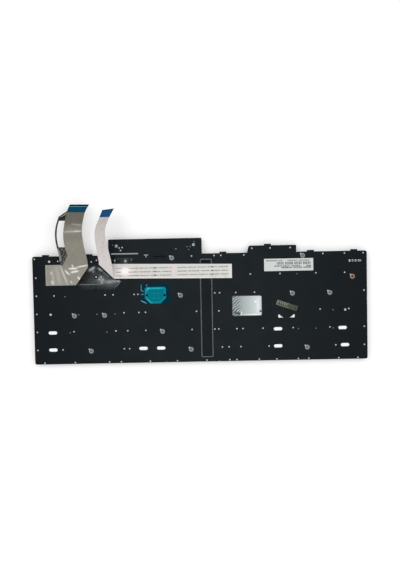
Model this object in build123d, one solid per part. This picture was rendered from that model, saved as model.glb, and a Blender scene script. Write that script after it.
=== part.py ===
from build123d import *
from dataclasses import dataclass
from math import atan, degrees
import os

# A laptop's replacement keyboard, lying on its keycaps with its back up.
# X runs along the key rows, Y from the space bar's edge to the function row's edge.
# Z runs up from the keycap tops.
# Lengths are in millimetres. Seen from the back, the front's left side is at +X.

# Key grid
KEY_PITCH = 18.6
ROW_PITCH = 19.0
FUNCTION_PITCH = 10.3
PAD_PITCH = 16.0
PAD_GAP = 1.5
SIDE_MARGIN = 2.5
FRONT_MARGIN = 5.6
BACK_MARGIN = 2.6
MAIN_UNITS = 15
FUNCTION_KEYS = 17
PAD_COLUMNS = 4
FULL_ROWS = 5

# Keycaps
KEY_GAP = 2.6
CAP_HEIGHT = 2.3
CAP_TOP = 0.9
CAP_WALL = 1.1
CAP_INSET = 0.6
SMILE_WIDTH = 2.6
SMILE_DEPTH = 1.2
TRAVEL = 1.7
PRESS_CLEARANCE = 0.2
DOME_BASE_R = 2.6
DOME_TOP_R = 1.4
DOME_SIDES = 6
POST_SIDES = 4

# Layers, from the keys to the back
MEMBRANE_T = 0.2
GUIDE_T = 0.4
PLATE_T = 0.5
FILM_T = 0.1
FRAME_FACE_Z = 1.2
FRAME_WALL = 1.2
WINDOW_CLEARANCE = 0.5
LAYER_CLEARANCE = 0.2

# Back plate
CORNER_R = 2.0
TALL_TAB_HEIGHT = 16.5
TALL_TAB_WIDTH = 97.6
TALL_TAB_X = -46.1
SECOND_TAB_HEIGHT = 7.3
SECOND_TAB_WIDTH = 49.4
SECOND_TAB_X = 76.6
TAB_CORNER_R = 1.4
HOOK_WIDTH = 7.3
HOOK_HEIGHT = 1.6
NOTCH_WIDTH = 5.2
NOTCH_DEPTH = 0.8
OVAL_LENGTH = 9.9
OVAL_WIDTH = 4.4
OVAL_FACETS = 12
WING_SLOT_LENGTH = 18.4
WING_SLOT_WIDTH = 4.3
WING_DISC_R = 9.5
WING_BRIDGE = 3.6
SLIT_LENGTH = 28.2
SLIT_WIDTH = 1.3
SLIT_FROM_TAB_SIDE = 2.8
TAB_HOLE_R = 1.1
TAB_HOLE_SPACING = 80.7
TAB_HOLE_FROM_TOP = 7.0

# Screw inserts
INSERT_FLANGE_R = 2.6
INSERT_FLANGE_T = 0.3
INSERT_FLANGE_SIDES = 10
INSERT_BARREL_R = 1.9
INSERT_HOLE_R = 1.0
INSERT_HOLE_SIDES = 8
INSERT_BARREL_SIDES = 6
BRASS_FLANGE_R = 3.0

# Pointing stick
STICK_UNITS = 6.75
STICK_OPENING_R = 4.6
STICK_OPENING_SIDES = 8
STICK_CAP_R = 3.3
STICK_CAP_SET_BACK = 0.2
STICK_CAP_HEIGHT = 2.6
STICK_CAP_ROUND = 0.8
STICK_STEM_SIDE = 2.0
STICK_STEM_REACH = 1.6
STICK_BOARD_WIDTH = 16.0
STICK_BOARD_DEPTH = 17.0
MODULE_WIDTH = 31.6
MODULE_DEPTH = 21.8
MODULE_T = 0.4
MODULE_CORNER_R = 2.0
MODULE_SHIFT_X = 2.3
MODULE_SHIFT_Y = 14.4

# Labels and films on the back
LABEL_WIDTH = 51.3
LABEL_DEPTH = 12.9
LABEL_X = 93.2
LABEL_FROM_BACK = 13.3
STICKER_LENGTH = 23.6
STICKER_WIDTH = 5.3
STICKER_TURN = -19.0
STICKER_FROM_WINGS = 11.2
COVER_FILM_WIDTH = 31.3
COVER_FILM_DEPTH = 21.1
COVER_FILM_X = -46.9
COVER_FILM_FROM_BACK = 41.3
PAN_WIDTH = 23.0
PAN_DEPTH = 17.4
PAN_HEIGHT = 0.6
PAN_CHAMFER = 5.0
PAN_HOLE_R = 0.9
PAN_HOLE_SIDES = 8
PAN_HOLE_SPACING = 18.7
SPINE_WIDTH = 11.9
SPINE_X = 6.9
SPINE_END_GAP = 5.0
SPINE_CORNER_R = 2.0

# Ribbons
RIBBON_T = 0.15
STIFFENER_T = 0.2
SEAT = 0.02
TAPE_T = 0.06

# Sizes that follow from the above
WIDTH = 2 * SIDE_MARGIN + MAIN_UNITS * KEY_PITCH + PAD_GAP + PAD_COLUMNS * PAD_PITCH
BODY_DEPTH = FRONT_MARGIN + FULL_ROWS * ROW_PITCH + FUNCTION_PITCH + BACK_MARGIN
Y_FRONT = -(BODY_DEPTH + TALL_TAB_HEIGHT) / 2
Y_BACK = Y_FRONT + BODY_DEPTH
Z_MEMBRANE = CAP_HEIGHT + TRAVEL + PRESS_CLEARANCE
Z_GUIDE = Z_MEMBRANE + MEMBRANE_T
Z_PLATE = Z_GUIDE + GUIDE_T
Z_BACK = Z_PLATE + PLATE_T
Z_RIBBON = Z_BACK + FILM_T + SEAT


def row_y(row):
    """Height in Y of a row's middle, counted in rows from the space bar's row."""
    return Y_FRONT + FRONT_MARGIN + (row + 0.5) * ROW_PITCH


def unit_x(units):
    """X of a place on the main block, counted in key units from the front's left side."""
    return WIDTH / 2 - SIDE_MARGIN - units * KEY_PITCH


def grid_point(units, rows):
    """A place on the back, counted in key units from the middle and in rows from the front margin."""
    return Vector(units * KEY_PITCH, Y_FRONT + FRONT_MARGIN + rows * ROW_PITCH)


STICK_X = unit_x(STICK_UNITS)
STICK_Y = (row_y(1) + row_y(2)) / 2

# Places on the back, in key units from the middle and rows from the front margin
INSERT_PLACES = [
    (-7.1, 2.37),
    (-5.4, 2.37),
    (-6.2, 0.4),
    (-0.55, 0.4),
    (6.0, 0.4),
    (-2.15, 1.42),
    (-1.55, 5.47),
    (5.8, 5.47),
    (-1.1, 3.4),
    (5.2, 3.4),
    (7.3, 3.4),
]
BRASS_PLACE = (8.58, 4.27)
OVAL_PLACES = [
    (-8.35, 1.45),
    (-8.35, 0.5),
    (-3.25, 0.5),
    (-2.25, 0.5),
    (4.36, 1.45),
    (4.36, 0.5),
    (8.0, 1.45),
    (8.13, 0.5),
]
WING_PLACE = (4.85, 2.16)
HOOK_UNITS = [-8.64, -6.19, 1.33, 6.24, 8.67]
TAB_HOOK_UNITS = 3.84
NOTCH_ROWS = 3.06


@dataclass
class Key:
    """One keycap's place and rim size, with a name if it is a node of its own."""

    name: str | None
    x: float
    y: float
    width: float
    depth: float


def run_of_keys(names_and_units, y, depth, start=0.0):
    """Keys side by side along the main block, given as names and widths in key units."""
    keys = []
    reached = start
    for name, units in names_and_units:
        middle = unit_x(reached + units / 2)
        keys.append(Key(name, middle, y, units * KEY_PITCH - KEY_GAP, depth))
        reached += units
    return keys


def main_block():
    """The main block's keys, where like keys have no name."""
    depth = ROW_PITCH - KEY_GAP
    rows = [
        [("fn_key", 1), ("left_control_key", 1), ("system_key", 1), ("left_alt_key", 1), ("space_bar", 5)]
        + [("right_alt_key", 1), ("print_screen_key", 1), ("right_control_key", 1)],
        [("left_shift_key", 2.25)] + [(None, 1)] * 10 + [("right_shift_key", 2.75)],
        [("caps_lock_key", 1.75)] + [(None, 1)] * 11 + [("enter_key", 2.25)],
        [("tab_key", 1.5)] + [(None, 1)] * 12 + [("backslash_key", 1.5)],
        [(None, 1)] * 13 + [("backspace_key", 2)],
    ]
    keys = []
    for index, row in enumerate(rows):
        keys += run_of_keys(row, row_y(index), depth)
    return keys


def arrow_block():
    """The two half-height rows of three keys at the end of the space bar's row."""
    half = ROW_PITCH / 2
    upper = [("page_up_key", 1), ("up_key", 1), ("page_down_key", 1)]
    lower = [("left_key", 1), ("down_key", 1), ("right_key", 1)]
    start = MAIN_UNITS - len(upper)
    keys = run_of_keys(upper, row_y(0) + half / 2, half - KEY_GAP, start)
    return keys + run_of_keys(lower, row_y(0) - half / 2, half - KEY_GAP, start)


def pad_x(column):
    """X of the middle of a number-pad column, counted from the front's left."""
    return unit_x(MAIN_UNITS) - PAD_GAP - (column + 0.5) * PAD_PITCH


def function_row():
    """The low keys along the back, over the main block and the number pad."""
    y = Y_BACK - BACK_MARGIN - FUNCTION_PITCH / 2
    depth = FUNCTION_PITCH - KEY_GAP
    pitch = MAIN_UNITS * KEY_PITCH / FUNCTION_KEYS
    keys = []
    for index in range(FUNCTION_KEYS):
        keys.append(Key(None, unit_x(0) - (index + 0.5) * pitch, y, pitch - KEY_GAP, depth))
    for column in range(PAD_COLUMNS):
        keys.append(Key(None, pad_x(column), y, PAD_PITCH - KEY_GAP, depth))
    return keys


def number_pad():
    """The number pad's keys, with two tall ones and a wide zero."""
    single = [
        ("pad_lock_key", 0, 4),
        ("pad_divide_key", 1, 4),
        ("pad_multiply_key", 2, 4),
        ("pad_minus_key", 3, 4),
        ("pad_7_key", 0, 3),
        ("pad_8_key", 1, 3),
        ("pad_9_key", 2, 3),
        ("pad_4_key", 0, 2),
        ("pad_5_key", 1, 2),
        ("pad_6_key", 2, 2),
        ("pad_1_key", 0, 1),
        ("pad_2_key", 1, 1),
        ("pad_3_key", 2, 1),
        ("pad_dot_key", 2, 0),
    ]
    width = PAD_PITCH - KEY_GAP
    depth = ROW_PITCH - KEY_GAP
    tall = 2 * ROW_PITCH - KEY_GAP
    keys = [Key(name, pad_x(column), row_y(row), width, depth) for name, column, row in single]
    keys.append(Key("pad_plus_key", pad_x(3), row_y(2.5), width, tall))
    keys.append(Key("pad_enter_key", pad_x(3), row_y(0.5), width, tall))
    keys.append(Key("pad_0_key", (pad_x(0) + pad_x(1)) / 2, row_y(0), 2 * PAD_PITCH - KEY_GAP, depth))
    return keys


KEYS = main_block() + arrow_block() + function_row() + number_pad()
MOVING_KEYS = [key for key in KEYS if key.name]
LIKE_KEYS = [key for key in KEYS if not key.name]


def turned_down(shape, z):
    """A piece modelled with its top up, turned over so that its base lies at the height z."""
    return Pos(0, 0, z) * Rot(0, 180, 0) * shape


def cap_outline(width, depth):
    """A keycap's rim, with its two front corners cut back."""
    x = width / 2
    y = depth / 2
    points = [
        (-x, y),
        (-x, -y + SMILE_DEPTH),
        (-x + SMILE_WIDTH, -y),
        (x - SMILE_WIDTH, -y),
        (x, -y + SMILE_DEPTH),
        (x, y),
    ]
    return make_face(Polyline(points, close=True))


def solid_cap(key):
    """A tapered keycap, closed, with its top at z = 0."""
    taper = degrees(atan(CAP_INSET / CAP_HEIGHT))
    block = extrude(cap_outline(key.width, key.depth), amount=CAP_HEIGHT, taper=taper)
    return Pos(key.x, key.y, 0) * turned_down(block, CAP_HEIGHT)


def hollow_cap(key):
    """A moving keycap: a tapered shell, open towards the membrane."""
    taper = degrees(atan(CAP_INSET / CAP_HEIGHT))
    opening = Rectangle(key.width - 2 * CAP_WALL, key.depth - 2 * CAP_WALL)
    hollow = extrude(opening, amount=CAP_HEIGHT - CAP_TOP, taper=taper)
    return solid_cap(key) - Pos(key.x, key.y, 0) * turned_down(hollow, CAP_HEIGHT)


def dome(key, top_z, sides):
    """A rubber dome on the membrane, up to the underside of its keycap at top_z."""
    height = Z_MEMBRANE - top_z
    taper = degrees(atan((DOME_BASE_R - DOME_TOP_R) / height))
    cone = extrude(RegularPolygon(DOME_BASE_R, sides), amount=height, taper=taper)
    return Pos(key.x, key.y, 0) * turned_down(cone, Z_MEMBRANE)


def slab(sketch, low, high):
    """A flat piece of a sketch between two heights."""
    return Pos(0, 0, low) * extrude(sketch, amount=high - low)


def at(point, shape):
    """A sketch moved to a place on the back."""
    return Pos(point.X, point.Y) * shape


def body_rectangle():
    """The body's rounded outline, without the tabs."""
    return Pos(0, (Y_FRONT + Y_BACK) / 2) * RectangleRounded(WIDTH, BODY_DEPTH, CORNER_R)


def wall_rectangle(clearance):
    """The square-cornered space inside the frame's outer wall, drawn in by a clearance."""
    inset = FRAME_WALL + clearance
    return Pos(0, (Y_FRONT + Y_BACK) / 2) * Rectangle(WIDTH - 2 * inset, BODY_DEPTH - 2 * inset)


def oval_slot():
    """An oval slot with faceted round ends."""
    end = RegularPolygon(OVAL_WIDTH / 2, OVAL_FACETS)
    reach = (OVAL_LENGTH - OVAL_WIDTH) / 2
    return make_hull((Pos(-reach, 0) * end).edges() + (Pos(reach, 0) * end).edges())


def winged_slot():
    """A slot that a disc and a narrow bridge below it part into two wings."""
    slot = Rectangle(WING_SLOT_LENGTH, WING_SLOT_WIDTH)
    slot -= Pos(0, WING_DISC_R - WING_SLOT_WIDTH / 2) * Circle(WING_DISC_R)
    return slot - Rectangle(WING_BRIDGE, WING_SLOT_WIDTH)


def stick_opening():
    """The opening round the pointing stick, made of flats."""
    return Pos(STICK_X, STICK_Y) * RegularPolygon(STICK_OPENING_R, STICK_OPENING_SIDES)


def stick_board_outline(clearance):
    """The pointing stick's sensor board, reaching from the stick towards the module plate."""
    middle = STICK_Y + STICK_BOARD_DEPTH / 2 - STICK_OPENING_R
    board = Rectangle(STICK_BOARD_WIDTH + 2 * clearance, STICK_BOARD_DEPTH + 2 * clearance)
    return Pos(STICK_X, middle) * board


def plate_outline():
    """The back plate's outline: the body, two tabs on the back edge, small hooks and a side notch."""
    overlap = CORNER_R
    tall = Rectangle(TALL_TAB_WIDTH, TALL_TAB_HEIGHT + overlap)
    tall = Pos(TALL_TAB_X, Y_BACK + (TALL_TAB_HEIGHT - overlap) / 2) * tall
    tall = fillet(tall.vertices().group_by(Axis.Y)[-1], TAB_CORNER_R)
    second = Rectangle(SECOND_TAB_WIDTH, SECOND_TAB_HEIGHT + overlap)
    second = Pos(SECOND_TAB_X, Y_BACK + (SECOND_TAB_HEIGHT - overlap) / 2) * second
    second = fillet(second.vertices().group_by(Axis.Y)[-1], TAB_CORNER_R)
    outline = body_rectangle() + tall + second
    hook = Rectangle(HOOK_WIDTH, 2 * HOOK_HEIGHT)
    for units in HOOK_UNITS:
        outline += Pos(units * KEY_PITCH, Y_BACK) * hook
    outline += Pos(TAB_HOOK_UNITS * KEY_PITCH, Y_BACK + SECOND_TAB_HEIGHT) * hook
    notch_y = Y_FRONT + FRONT_MARGIN + NOTCH_ROWS * ROW_PITCH
    return outline - Pos(WIDTH / 2, notch_y) * Rectangle(2 * NOTCH_DEPTH, NOTCH_WIDTH)


def tab_hole_points():
    """The two screw holes in the tall tab."""
    y = Y_BACK + TALL_TAB_HEIGHT - TAB_HOLE_FROM_TOP
    half = TAB_HOLE_SPACING / 2
    return [Vector(TALL_TAB_X - half, y), Vector(TALL_TAB_X + half, y)]


def back_plate():
    """The stamped steel plate that carries everything."""
    outline = plate_outline()
    for place in OVAL_PLACES:
        outline -= at(grid_point(*place), oval_slot())
    outline -= at(grid_point(*WING_PLACE), winged_slot())
    slit_x = TALL_TAB_X - TALL_TAB_WIDTH / 2 + SLIT_FROM_TAB_SIDE + SLIT_LENGTH / 2
    outline -= Pos(slit_x, Y_BACK + SLIT_WIDTH) * Rectangle(SLIT_LENGTH, SLIT_WIDTH)
    for point in tab_hole_points():
        outline -= at(point, Circle(TAB_HOLE_R))
    for place in INSERT_PLACES + [BRASS_PLACE]:
        outline -= at(grid_point(*place), RegularPolygon(INSERT_BARREL_R, INSERT_BARREL_SIDES))
    return slab(outline, Z_PLATE, Z_BACK)


def key_frame():
    """The moulded front frame: a grid of key windows in an outer wall that reaches the plate."""
    face = body_rectangle()
    for key in KEYS:
        window = Rectangle(key.width + 2 * WINDOW_CLEARANCE, key.depth + 2 * WINDOW_CLEARANCE)
        face -= Pos(key.x, key.y) * window
    face -= stick_opening()
    wall = body_rectangle() - wall_rectangle(0)
    return slab(face, FRAME_FACE_Z, Z_MEMBRANE) + slab(wall, FRAME_FACE_Z, Z_PLATE)


def sheet_outline():
    """The outline of the sheets inside the frame's wall, with room for the pointing stick's board."""
    return wall_rectangle(LAYER_CLEARANCE) - stick_board_outline(LAYER_CLEARANCE)


def switch_membrane():
    """The switch membrane under the domes."""
    return slab(sheet_outline(), Z_MEMBRANE, Z_GUIDE)


def like_keys():
    """The letter, digit and function keys, each fused to the dome that carries it on the membrane."""
    opening = slab(stick_opening(), 0, Z_MEMBRANE)
    pieces = []
    for key in LIKE_KEYS:
        piece = solid_cap(key) + dome(key, CAP_HEIGHT, POST_SIDES)
        if abs(key.x - STICK_X) < KEY_PITCH and abs(key.y - STICK_Y) < ROW_PITCH:
            piece -= opening
        pieces.append(piece)
    return pieces


def light_guide():
    """The white light guide sheet between the membrane and the plate."""
    return slab(sheet_outline(), Z_GUIDE, Z_PLATE)


def rubber_domes():
    """The domes under the moving keys."""
    return [dome(key, CAP_TOP, DOME_SIDES) for key in MOVING_KEYS]


def screw_insert(place, flange_r):
    """A clinched insert: a flange on the back, a hexagonal barrel in the plate and a hole through both."""
    hole = RegularPolygon(INSERT_HOLE_R, INSERT_HOLE_SIDES)
    flange = RegularPolygon(flange_r, INSERT_FLANGE_SIDES) - hole
    barrel = RegularPolygon(INSERT_BARREL_R, INSERT_BARREL_SIDES) - hole
    insert = slab(flange, Z_BACK, Z_BACK + INSERT_FLANGE_T) + slab(barrel, Z_PLATE, Z_BACK)
    point = grid_point(*place)
    return Pos(point.X, point.Y, 0) * insert


def stick_sensor():
    """The pointing stick's sensor board and its stem, made as one piece."""
    board = slab(stick_board_outline(0), Z_MEMBRANE, Z_PLATE)
    stem = Pos(STICK_X, STICK_Y) * Rectangle(STICK_STEM_SIDE, STICK_STEM_SIDE)
    return board + slab(stem, Z_MEMBRANE - STICK_STEM_REACH, Z_MEMBRANE)


def stick_cap():
    """The soft cap pushed on the stem."""
    low = STICK_CAP_SET_BACK
    high = low + STICK_CAP_HEIGHT
    body = slab(Circle(STICK_CAP_R), low, high)
    body = chamfer(body.edges().group_by(Axis.Z)[0], STICK_CAP_ROUND)
    socket = slab(Rectangle(STICK_STEM_SIDE, STICK_STEM_SIDE), Z_MEMBRANE - STICK_STEM_REACH, high)
    return Pos(STICK_X, STICK_Y, 0) * (body - socket)


def module_plate():
    """The pressed steel cover of the pointing stick's module, on the back."""
    outline = RectangleRounded(MODULE_WIDTH, MODULE_DEPTH, MODULE_CORNER_R)
    outline = Pos(STICK_X + MODULE_SHIFT_X, STICK_Y + MODULE_SHIFT_Y) * outline
    return slab(outline, Z_BACK, Z_BACK + MODULE_T)


def rating_label():
    """The pale label near the back edge."""
    outline = Pos(LABEL_X, Y_BACK - LABEL_FROM_BACK) * Rectangle(LABEL_WIDTH, LABEL_DEPTH)
    return slab(outline, Z_BACK, Z_BACK + FILM_T)


def date_sticker():
    """The small tilted sticker above the winged slot."""
    point = grid_point(*WING_PLACE)
    outline = Rot(0, 0, STICKER_TURN) * Rectangle(STICKER_LENGTH, STICKER_WIDTH)
    return slab(Pos(point.X, point.Y + STICKER_FROM_WINGS) * outline, Z_BACK, Z_BACK + FILM_T)


def cover_film():
    """The tinted film with its raised pan and two holes."""
    film = Rectangle(COVER_FILM_WIDTH, COVER_FILM_DEPTH)
    pan = Rectangle(PAN_WIDTH, PAN_DEPTH)
    pan = chamfer(pan.vertices().group_by(Axis.Y)[0], PAN_CHAMFER)
    half = PAN_HOLE_SPACING / 2
    hole = RegularPolygon(PAN_HOLE_R, PAN_HOLE_SIDES)
    holes = Pos(-half, 0) * hole + Pos(half, 0) * hole
    cover = slab(film - holes, Z_BACK, Z_BACK + FILM_T)
    cover += slab(pan - holes, Z_BACK + FILM_T, Z_BACK + PAN_HEIGHT)
    return Pos(COVER_FILM_X, Y_BACK - COVER_FILM_FROM_BACK, 0) * cover


def spine_film():
    """The tall narrow strip of film across the rows."""
    outline = RectangleRounded(SPINE_WIDTH, BODY_DEPTH - 2 * SPINE_END_GAP, SPINE_CORNER_R)
    return slab(Pos(SPINE_X, (Y_FRONT + Y_BACK) / 2) * outline, Z_BACK, Z_BACK + FILM_T)


# Ribbons. Each tail is a list of stations from its crease to its tip, chosen by hand.
# A station holds the left and the right edge, each as X, Y from the back edge, and height over the back.
WIDE_LAID = [(-161.2, -9.0), (-161.2, -30.6), (-129.7, -30.6), (-116.6, -12.2), (-137.6, -9.0)]
WIDE_TAIL = [
    ((-129.7, -30.6, 0.05), (-116.6, -12.2, 0.05)),
    ((-138.0, -10.1, 1.4), (-116.4, -10.2, 0.7)),
    ((-137.7, -0.8, 4.8), (-117.4, -1.3, 2.3)),
    ((-138.8, 7.5, 8.8), (-119.0, 7.1, 4.3)),
    ((-139.2, 15.8, 11.8), (-120.2, 15.4, 6.3)),
    ((-139.3, 23.9, 13.3), (-120.9, 23.6, 7.3)),
    ((-138.0, 32.1, 12.8), (-120.5, 31.9, 6.8)),
    ((-136.7, 40.3, 10.8), (-118.9, 40.2, 5.3)),
    ((-136.0, 46.6, 8.8), (-117.9, 46.4, 3.8)),
    ((-133.1, 52.8, 6.8), (-114.5, 52.7, 2.3)),
]
BACKLIGHT_LAID = [(33.8, -11.3), (33.8, -26.1), (-89.8, -24.4), (-105.5, -8.8)]
BACKLIGHT_TAIL = [
    ((-105.5, -8.8, 0.05), (-89.8, -24.4, 0.05)),
    ((-104.6, -7.6, 0.9), (-90.7, -10.1, 5.7)),
    ((-105.8, -1.5, 2.7), (-92.0, -1.7, 8.9)),
    ((-106.5, 6.9, 5.2), (-93.3, 6.6, 13.2)),
    ((-107.5, 15.2, 7.2), (-95.0, 14.8, 15.7)),
    ((-107.9, 23.4, 8.2), (-95.9, 22.9, 17.2)),
    ((-106.0, 31.6, 7.7), (-94.4, 31.1, 17.2)),
    ((-102.2, 39.9, 6.2), (-91.3, 39.3, 16.2)),
    ((-100.0, 46.1, 4.2), (-88.0, 46.8, 13.7)),
]
SIDE_STRIP = [
    (-145.3, -9.0, 0.4),
    (-145.2, -2.7, 4.0),
    (-146.2, 7.6, 10.6),
    (-147.2, 15.9, 14.6),
    (-147.1, 24.1, 16.2),
    (-146.0, 32.4, 15.4),
    (-143.4, 40.6, 13.0),
]
SIDE_STRIP_WIDTH = 1.8
TAPE_BETWEEN_FOLDS = [(-115.8, -11.5), (-106.6, -9.4), (-90.6, -25.1), (-81.3, -27.1), (-90.4, -36.4)]
TAPE_BETWEEN_FOLDS += [(-125.9, -36.2), (-128.6, -31.0)]
TAPE_CORNER = [(-89.6, -10.6), (-89.6, -3.0), (-66.7, -3.2), (-66.7, -10.9)]


def back_point(point):
    """A hand-chosen ribbon point as a place in the part's frame."""
    x, from_edge, height = point
    return Vector(x, Y_BACK + from_edge, Z_RIBBON + height)


def facet(*corners):
    """A flat face through its corners."""
    return Face(Wire.make_polygon(corners))


def thin_strip(left, right, thickness):
    """A thin strip between two edges of as many points, made of flat facets, with upright sides."""
    rise = Vector(0, 0, thickness)
    left_top = [point + rise for point in left]
    right_top = [point + rise for point in right]
    last = len(left) - 1
    faces = [
        facet(left[0], right[0], right_top[0], left_top[0]),
        facet(left[last], right[last], right_top[last], left_top[last]),
    ]
    for a in range(last):
        b = a + 1
        faces.append(facet(left[a], right[a], left[b]))
        faces.append(facet(right[a], right[b], left[b]))
        faces.append(facet(left_top[a], right_top[a], left_top[b]))
        faces.append(facet(right_top[a], right_top[b], left_top[b]))
        faces.append(facet(left[a], left[b], left_top[b], left_top[a]))
        faces.append(facet(right[a], right[b], right_top[b], right_top[a]))
    return Solid(Shell(faces))


def ribbon_strip(stations, thickness, lift=0.0):
    """A thin curved strip through its stations, lifted by a height."""
    raised = Vector(0, 0, lift)
    left = [back_point(station[0]) + raised for station in stations]
    right = [back_point(station[1]) + raised for station in stations]
    return thin_strip(left, right, thickness)


def flat_polygon(points, low, high):
    """A flat sheet with corners given as X and Y from the back edge."""
    corners = [(x, Y_BACK + from_edge) for x, from_edge in points]
    return slab(make_face(Polyline(corners, close=True)), low, high)


def folded_ribbon(laid, tail):
    """A ribbon that lies on the back up to its crease, then turns over into a free tail."""
    flat = flat_polygon(laid, Z_RIBBON, Z_RIBBON + RIBBON_T)
    return flat + ribbon_strip(tail, RIBBON_T)


def side_strip():
    """The narrow black strip beside the wide ribbon's tail, with a patch and a gusset that meet the tail."""
    outer = [back_point(point) for point in SIDE_STRIP]
    tail_edge = [back_point(station[0]) for station in WIDE_TAIL]
    across = Vector(SIDE_STRIP_WIDTH, 0, 0)
    strip = thin_strip(outer, [point + across for point in outer], RIBBON_T)
    patch = thin_strip(outer[1:3], tail_edge[2:4], RIBBON_T)
    gusset = thin_strip([outer[-1], tail_edge[-2] - across], tail_edge[-3:-1], RIBBON_T)
    return strip + patch + gusset


def clear_tape():
    """Clear tape on the plate between the two folds, and a small piece beside the narrow ribbon."""
    return [flat_polygon(points, Z_BACK, Z_BACK + TAPE_T) for points in (TAPE_BETWEEN_FOLDS, TAPE_CORNER)]


def build():
    """Every node of the keyboard, by name."""
    nodes = {
        "back_plate": back_plate(),
        "key_frame": key_frame(),
        "switch_membrane": switch_membrane(),
        "letter_and_function_keys": like_keys(),
        "light_guide": light_guide(),
        "rubber_domes": rubber_domes(),
        "screw_inserts": [screw_insert(place, INSERT_FLANGE_R) for place in INSERT_PLACES],
        "brass_insert": screw_insert(BRASS_PLACE, BRASS_FLANGE_R),
        "stick_sensor": stick_sensor(),
        "stick_cap": stick_cap(),
        "stick_module_plate": module_plate(),
        "rating_label": rating_label(),
        "date_sticker": date_sticker(),
        "cover_film": cover_film(),
        "spine_film": spine_film(),
        "clear_tape": clear_tape(),
        "keyboard_ribbon": folded_ribbon(WIDE_LAID, WIDE_TAIL),
        "keyboard_ribbon_stiffener": ribbon_strip(WIDE_TAIL[-2:], STIFFENER_T, RIBBON_T + SEAT),
        "ribbon_side_strip": side_strip(),
        "backlight_ribbon": folded_ribbon(BACKLIGHT_LAID, BACKLIGHT_TAIL),
        "backlight_ribbon_stiffener": ribbon_strip(BACKLIGHT_TAIL[-2:], STIFFENER_T, RIBBON_T + SEAT),
    }
    for key in MOVING_KEYS:
        nodes[key.name] = hollow_cap(key)
    return nodes


os.makedirs("parts", exist_ok=True)
for name, shape in build().items():
    if isinstance(shape, list):
        shape = Compound(children=shape)
    export_step(shape, f"parts/{name}.step")
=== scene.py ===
import logging
from collections.abc import Sequence
from dataclasses import dataclass, field
from enum import Enum

import bmesh
import bpy
import numpy as np
from mathutils import Matrix, Vector


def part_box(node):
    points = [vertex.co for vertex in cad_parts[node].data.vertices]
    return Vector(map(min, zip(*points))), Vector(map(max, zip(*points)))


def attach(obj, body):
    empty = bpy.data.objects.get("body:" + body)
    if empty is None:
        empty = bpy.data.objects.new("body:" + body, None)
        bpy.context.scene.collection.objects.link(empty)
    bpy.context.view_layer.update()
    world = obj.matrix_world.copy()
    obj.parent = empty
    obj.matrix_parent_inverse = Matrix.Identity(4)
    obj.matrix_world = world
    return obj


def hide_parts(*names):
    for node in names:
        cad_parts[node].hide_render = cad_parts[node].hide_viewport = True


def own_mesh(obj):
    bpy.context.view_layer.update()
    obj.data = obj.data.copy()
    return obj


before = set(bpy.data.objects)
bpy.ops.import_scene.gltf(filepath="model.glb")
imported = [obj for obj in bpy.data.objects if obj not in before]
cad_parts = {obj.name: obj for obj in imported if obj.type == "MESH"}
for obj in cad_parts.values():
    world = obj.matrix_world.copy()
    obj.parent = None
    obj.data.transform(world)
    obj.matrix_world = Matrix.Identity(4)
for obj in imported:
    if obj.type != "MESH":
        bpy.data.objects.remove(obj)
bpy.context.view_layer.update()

Colour = tuple[int, int, int]
Stops = tuple[tuple[float, Colour], ...]
Place = tuple[float, float]
Point = tuple[float, float, float]
Bar = tuple[float, float, float, float]
Marks = Sequence[tuple[float, ...]]
Piece = bpy.types.Object
Socket = bpy.types.NodeSocket

# Shapes are worked out in millimetres and put into meshes in metres.
MM = 0.001
MERGE_M = 1e-7
SHARP_DEG = 40.0
BASE = "base"
TINT = "tint"
LOG = logging.getLogger("keyboard")


def box_mm(node: str) -> list[np.ndarray]:
    """The lowest and the highest corner of a node's box, in millimetres."""
    return [np.array(corner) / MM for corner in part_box(node)]


def plan(node: str) -> tuple[np.ndarray, np.ndarray]:
    """The middle of a node's box and half its size, in millimetres."""
    low, high = box_mm(node)
    return (low + high) / 2, (high - low) / 2


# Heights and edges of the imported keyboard
Z_PLATE, Z_BACK = (corner[2] for corner in box_mm("back_plate"))
Z_MEMBRANE = box_mm("switch_membrane")[0][2]
X_SIDE = box_mm("key_frame")[1][0]
Y_FRONT, Y_BACK = (corner[1] for corner in box_mm("key_frame"))
FILM_T = 0.1
RIBBON_T = 0.15
SEAT = 0.02
Z_RIBBON = Z_BACK + FILM_T + SEAT

# How deep raised marks and print sit in what carries them, and how thick they are
MARK_SUNK, MARK_T = 0.02, 0.14
PRINT_SUNK, PRINT_T = 0.01, 0.03

# Lines of dashes in place of print: shares of the longest dash, gaps between dashes and words, dashes in a word
DASH_SHARE, SHORTEST_DASH = 0.35, 0.3
DASH_GAP, WORD_GAP, WORD = 0.45, 1.5, 8

# The key grid
KEY_PITCH = 18.6
ROW_PITCH = 19.0
FUNCTION_PITCH = 10.3
PAD_PITCH = 16.0
PAD_GAP = 1.5
SIDE_MARGIN = 2.5
FRONT_MARGIN = 5.6
BACK_MARGIN = 2.6
MAIN_UNITS = 15
KEY_GAP = 2.6
STICK_UNITS = 6.75

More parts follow.
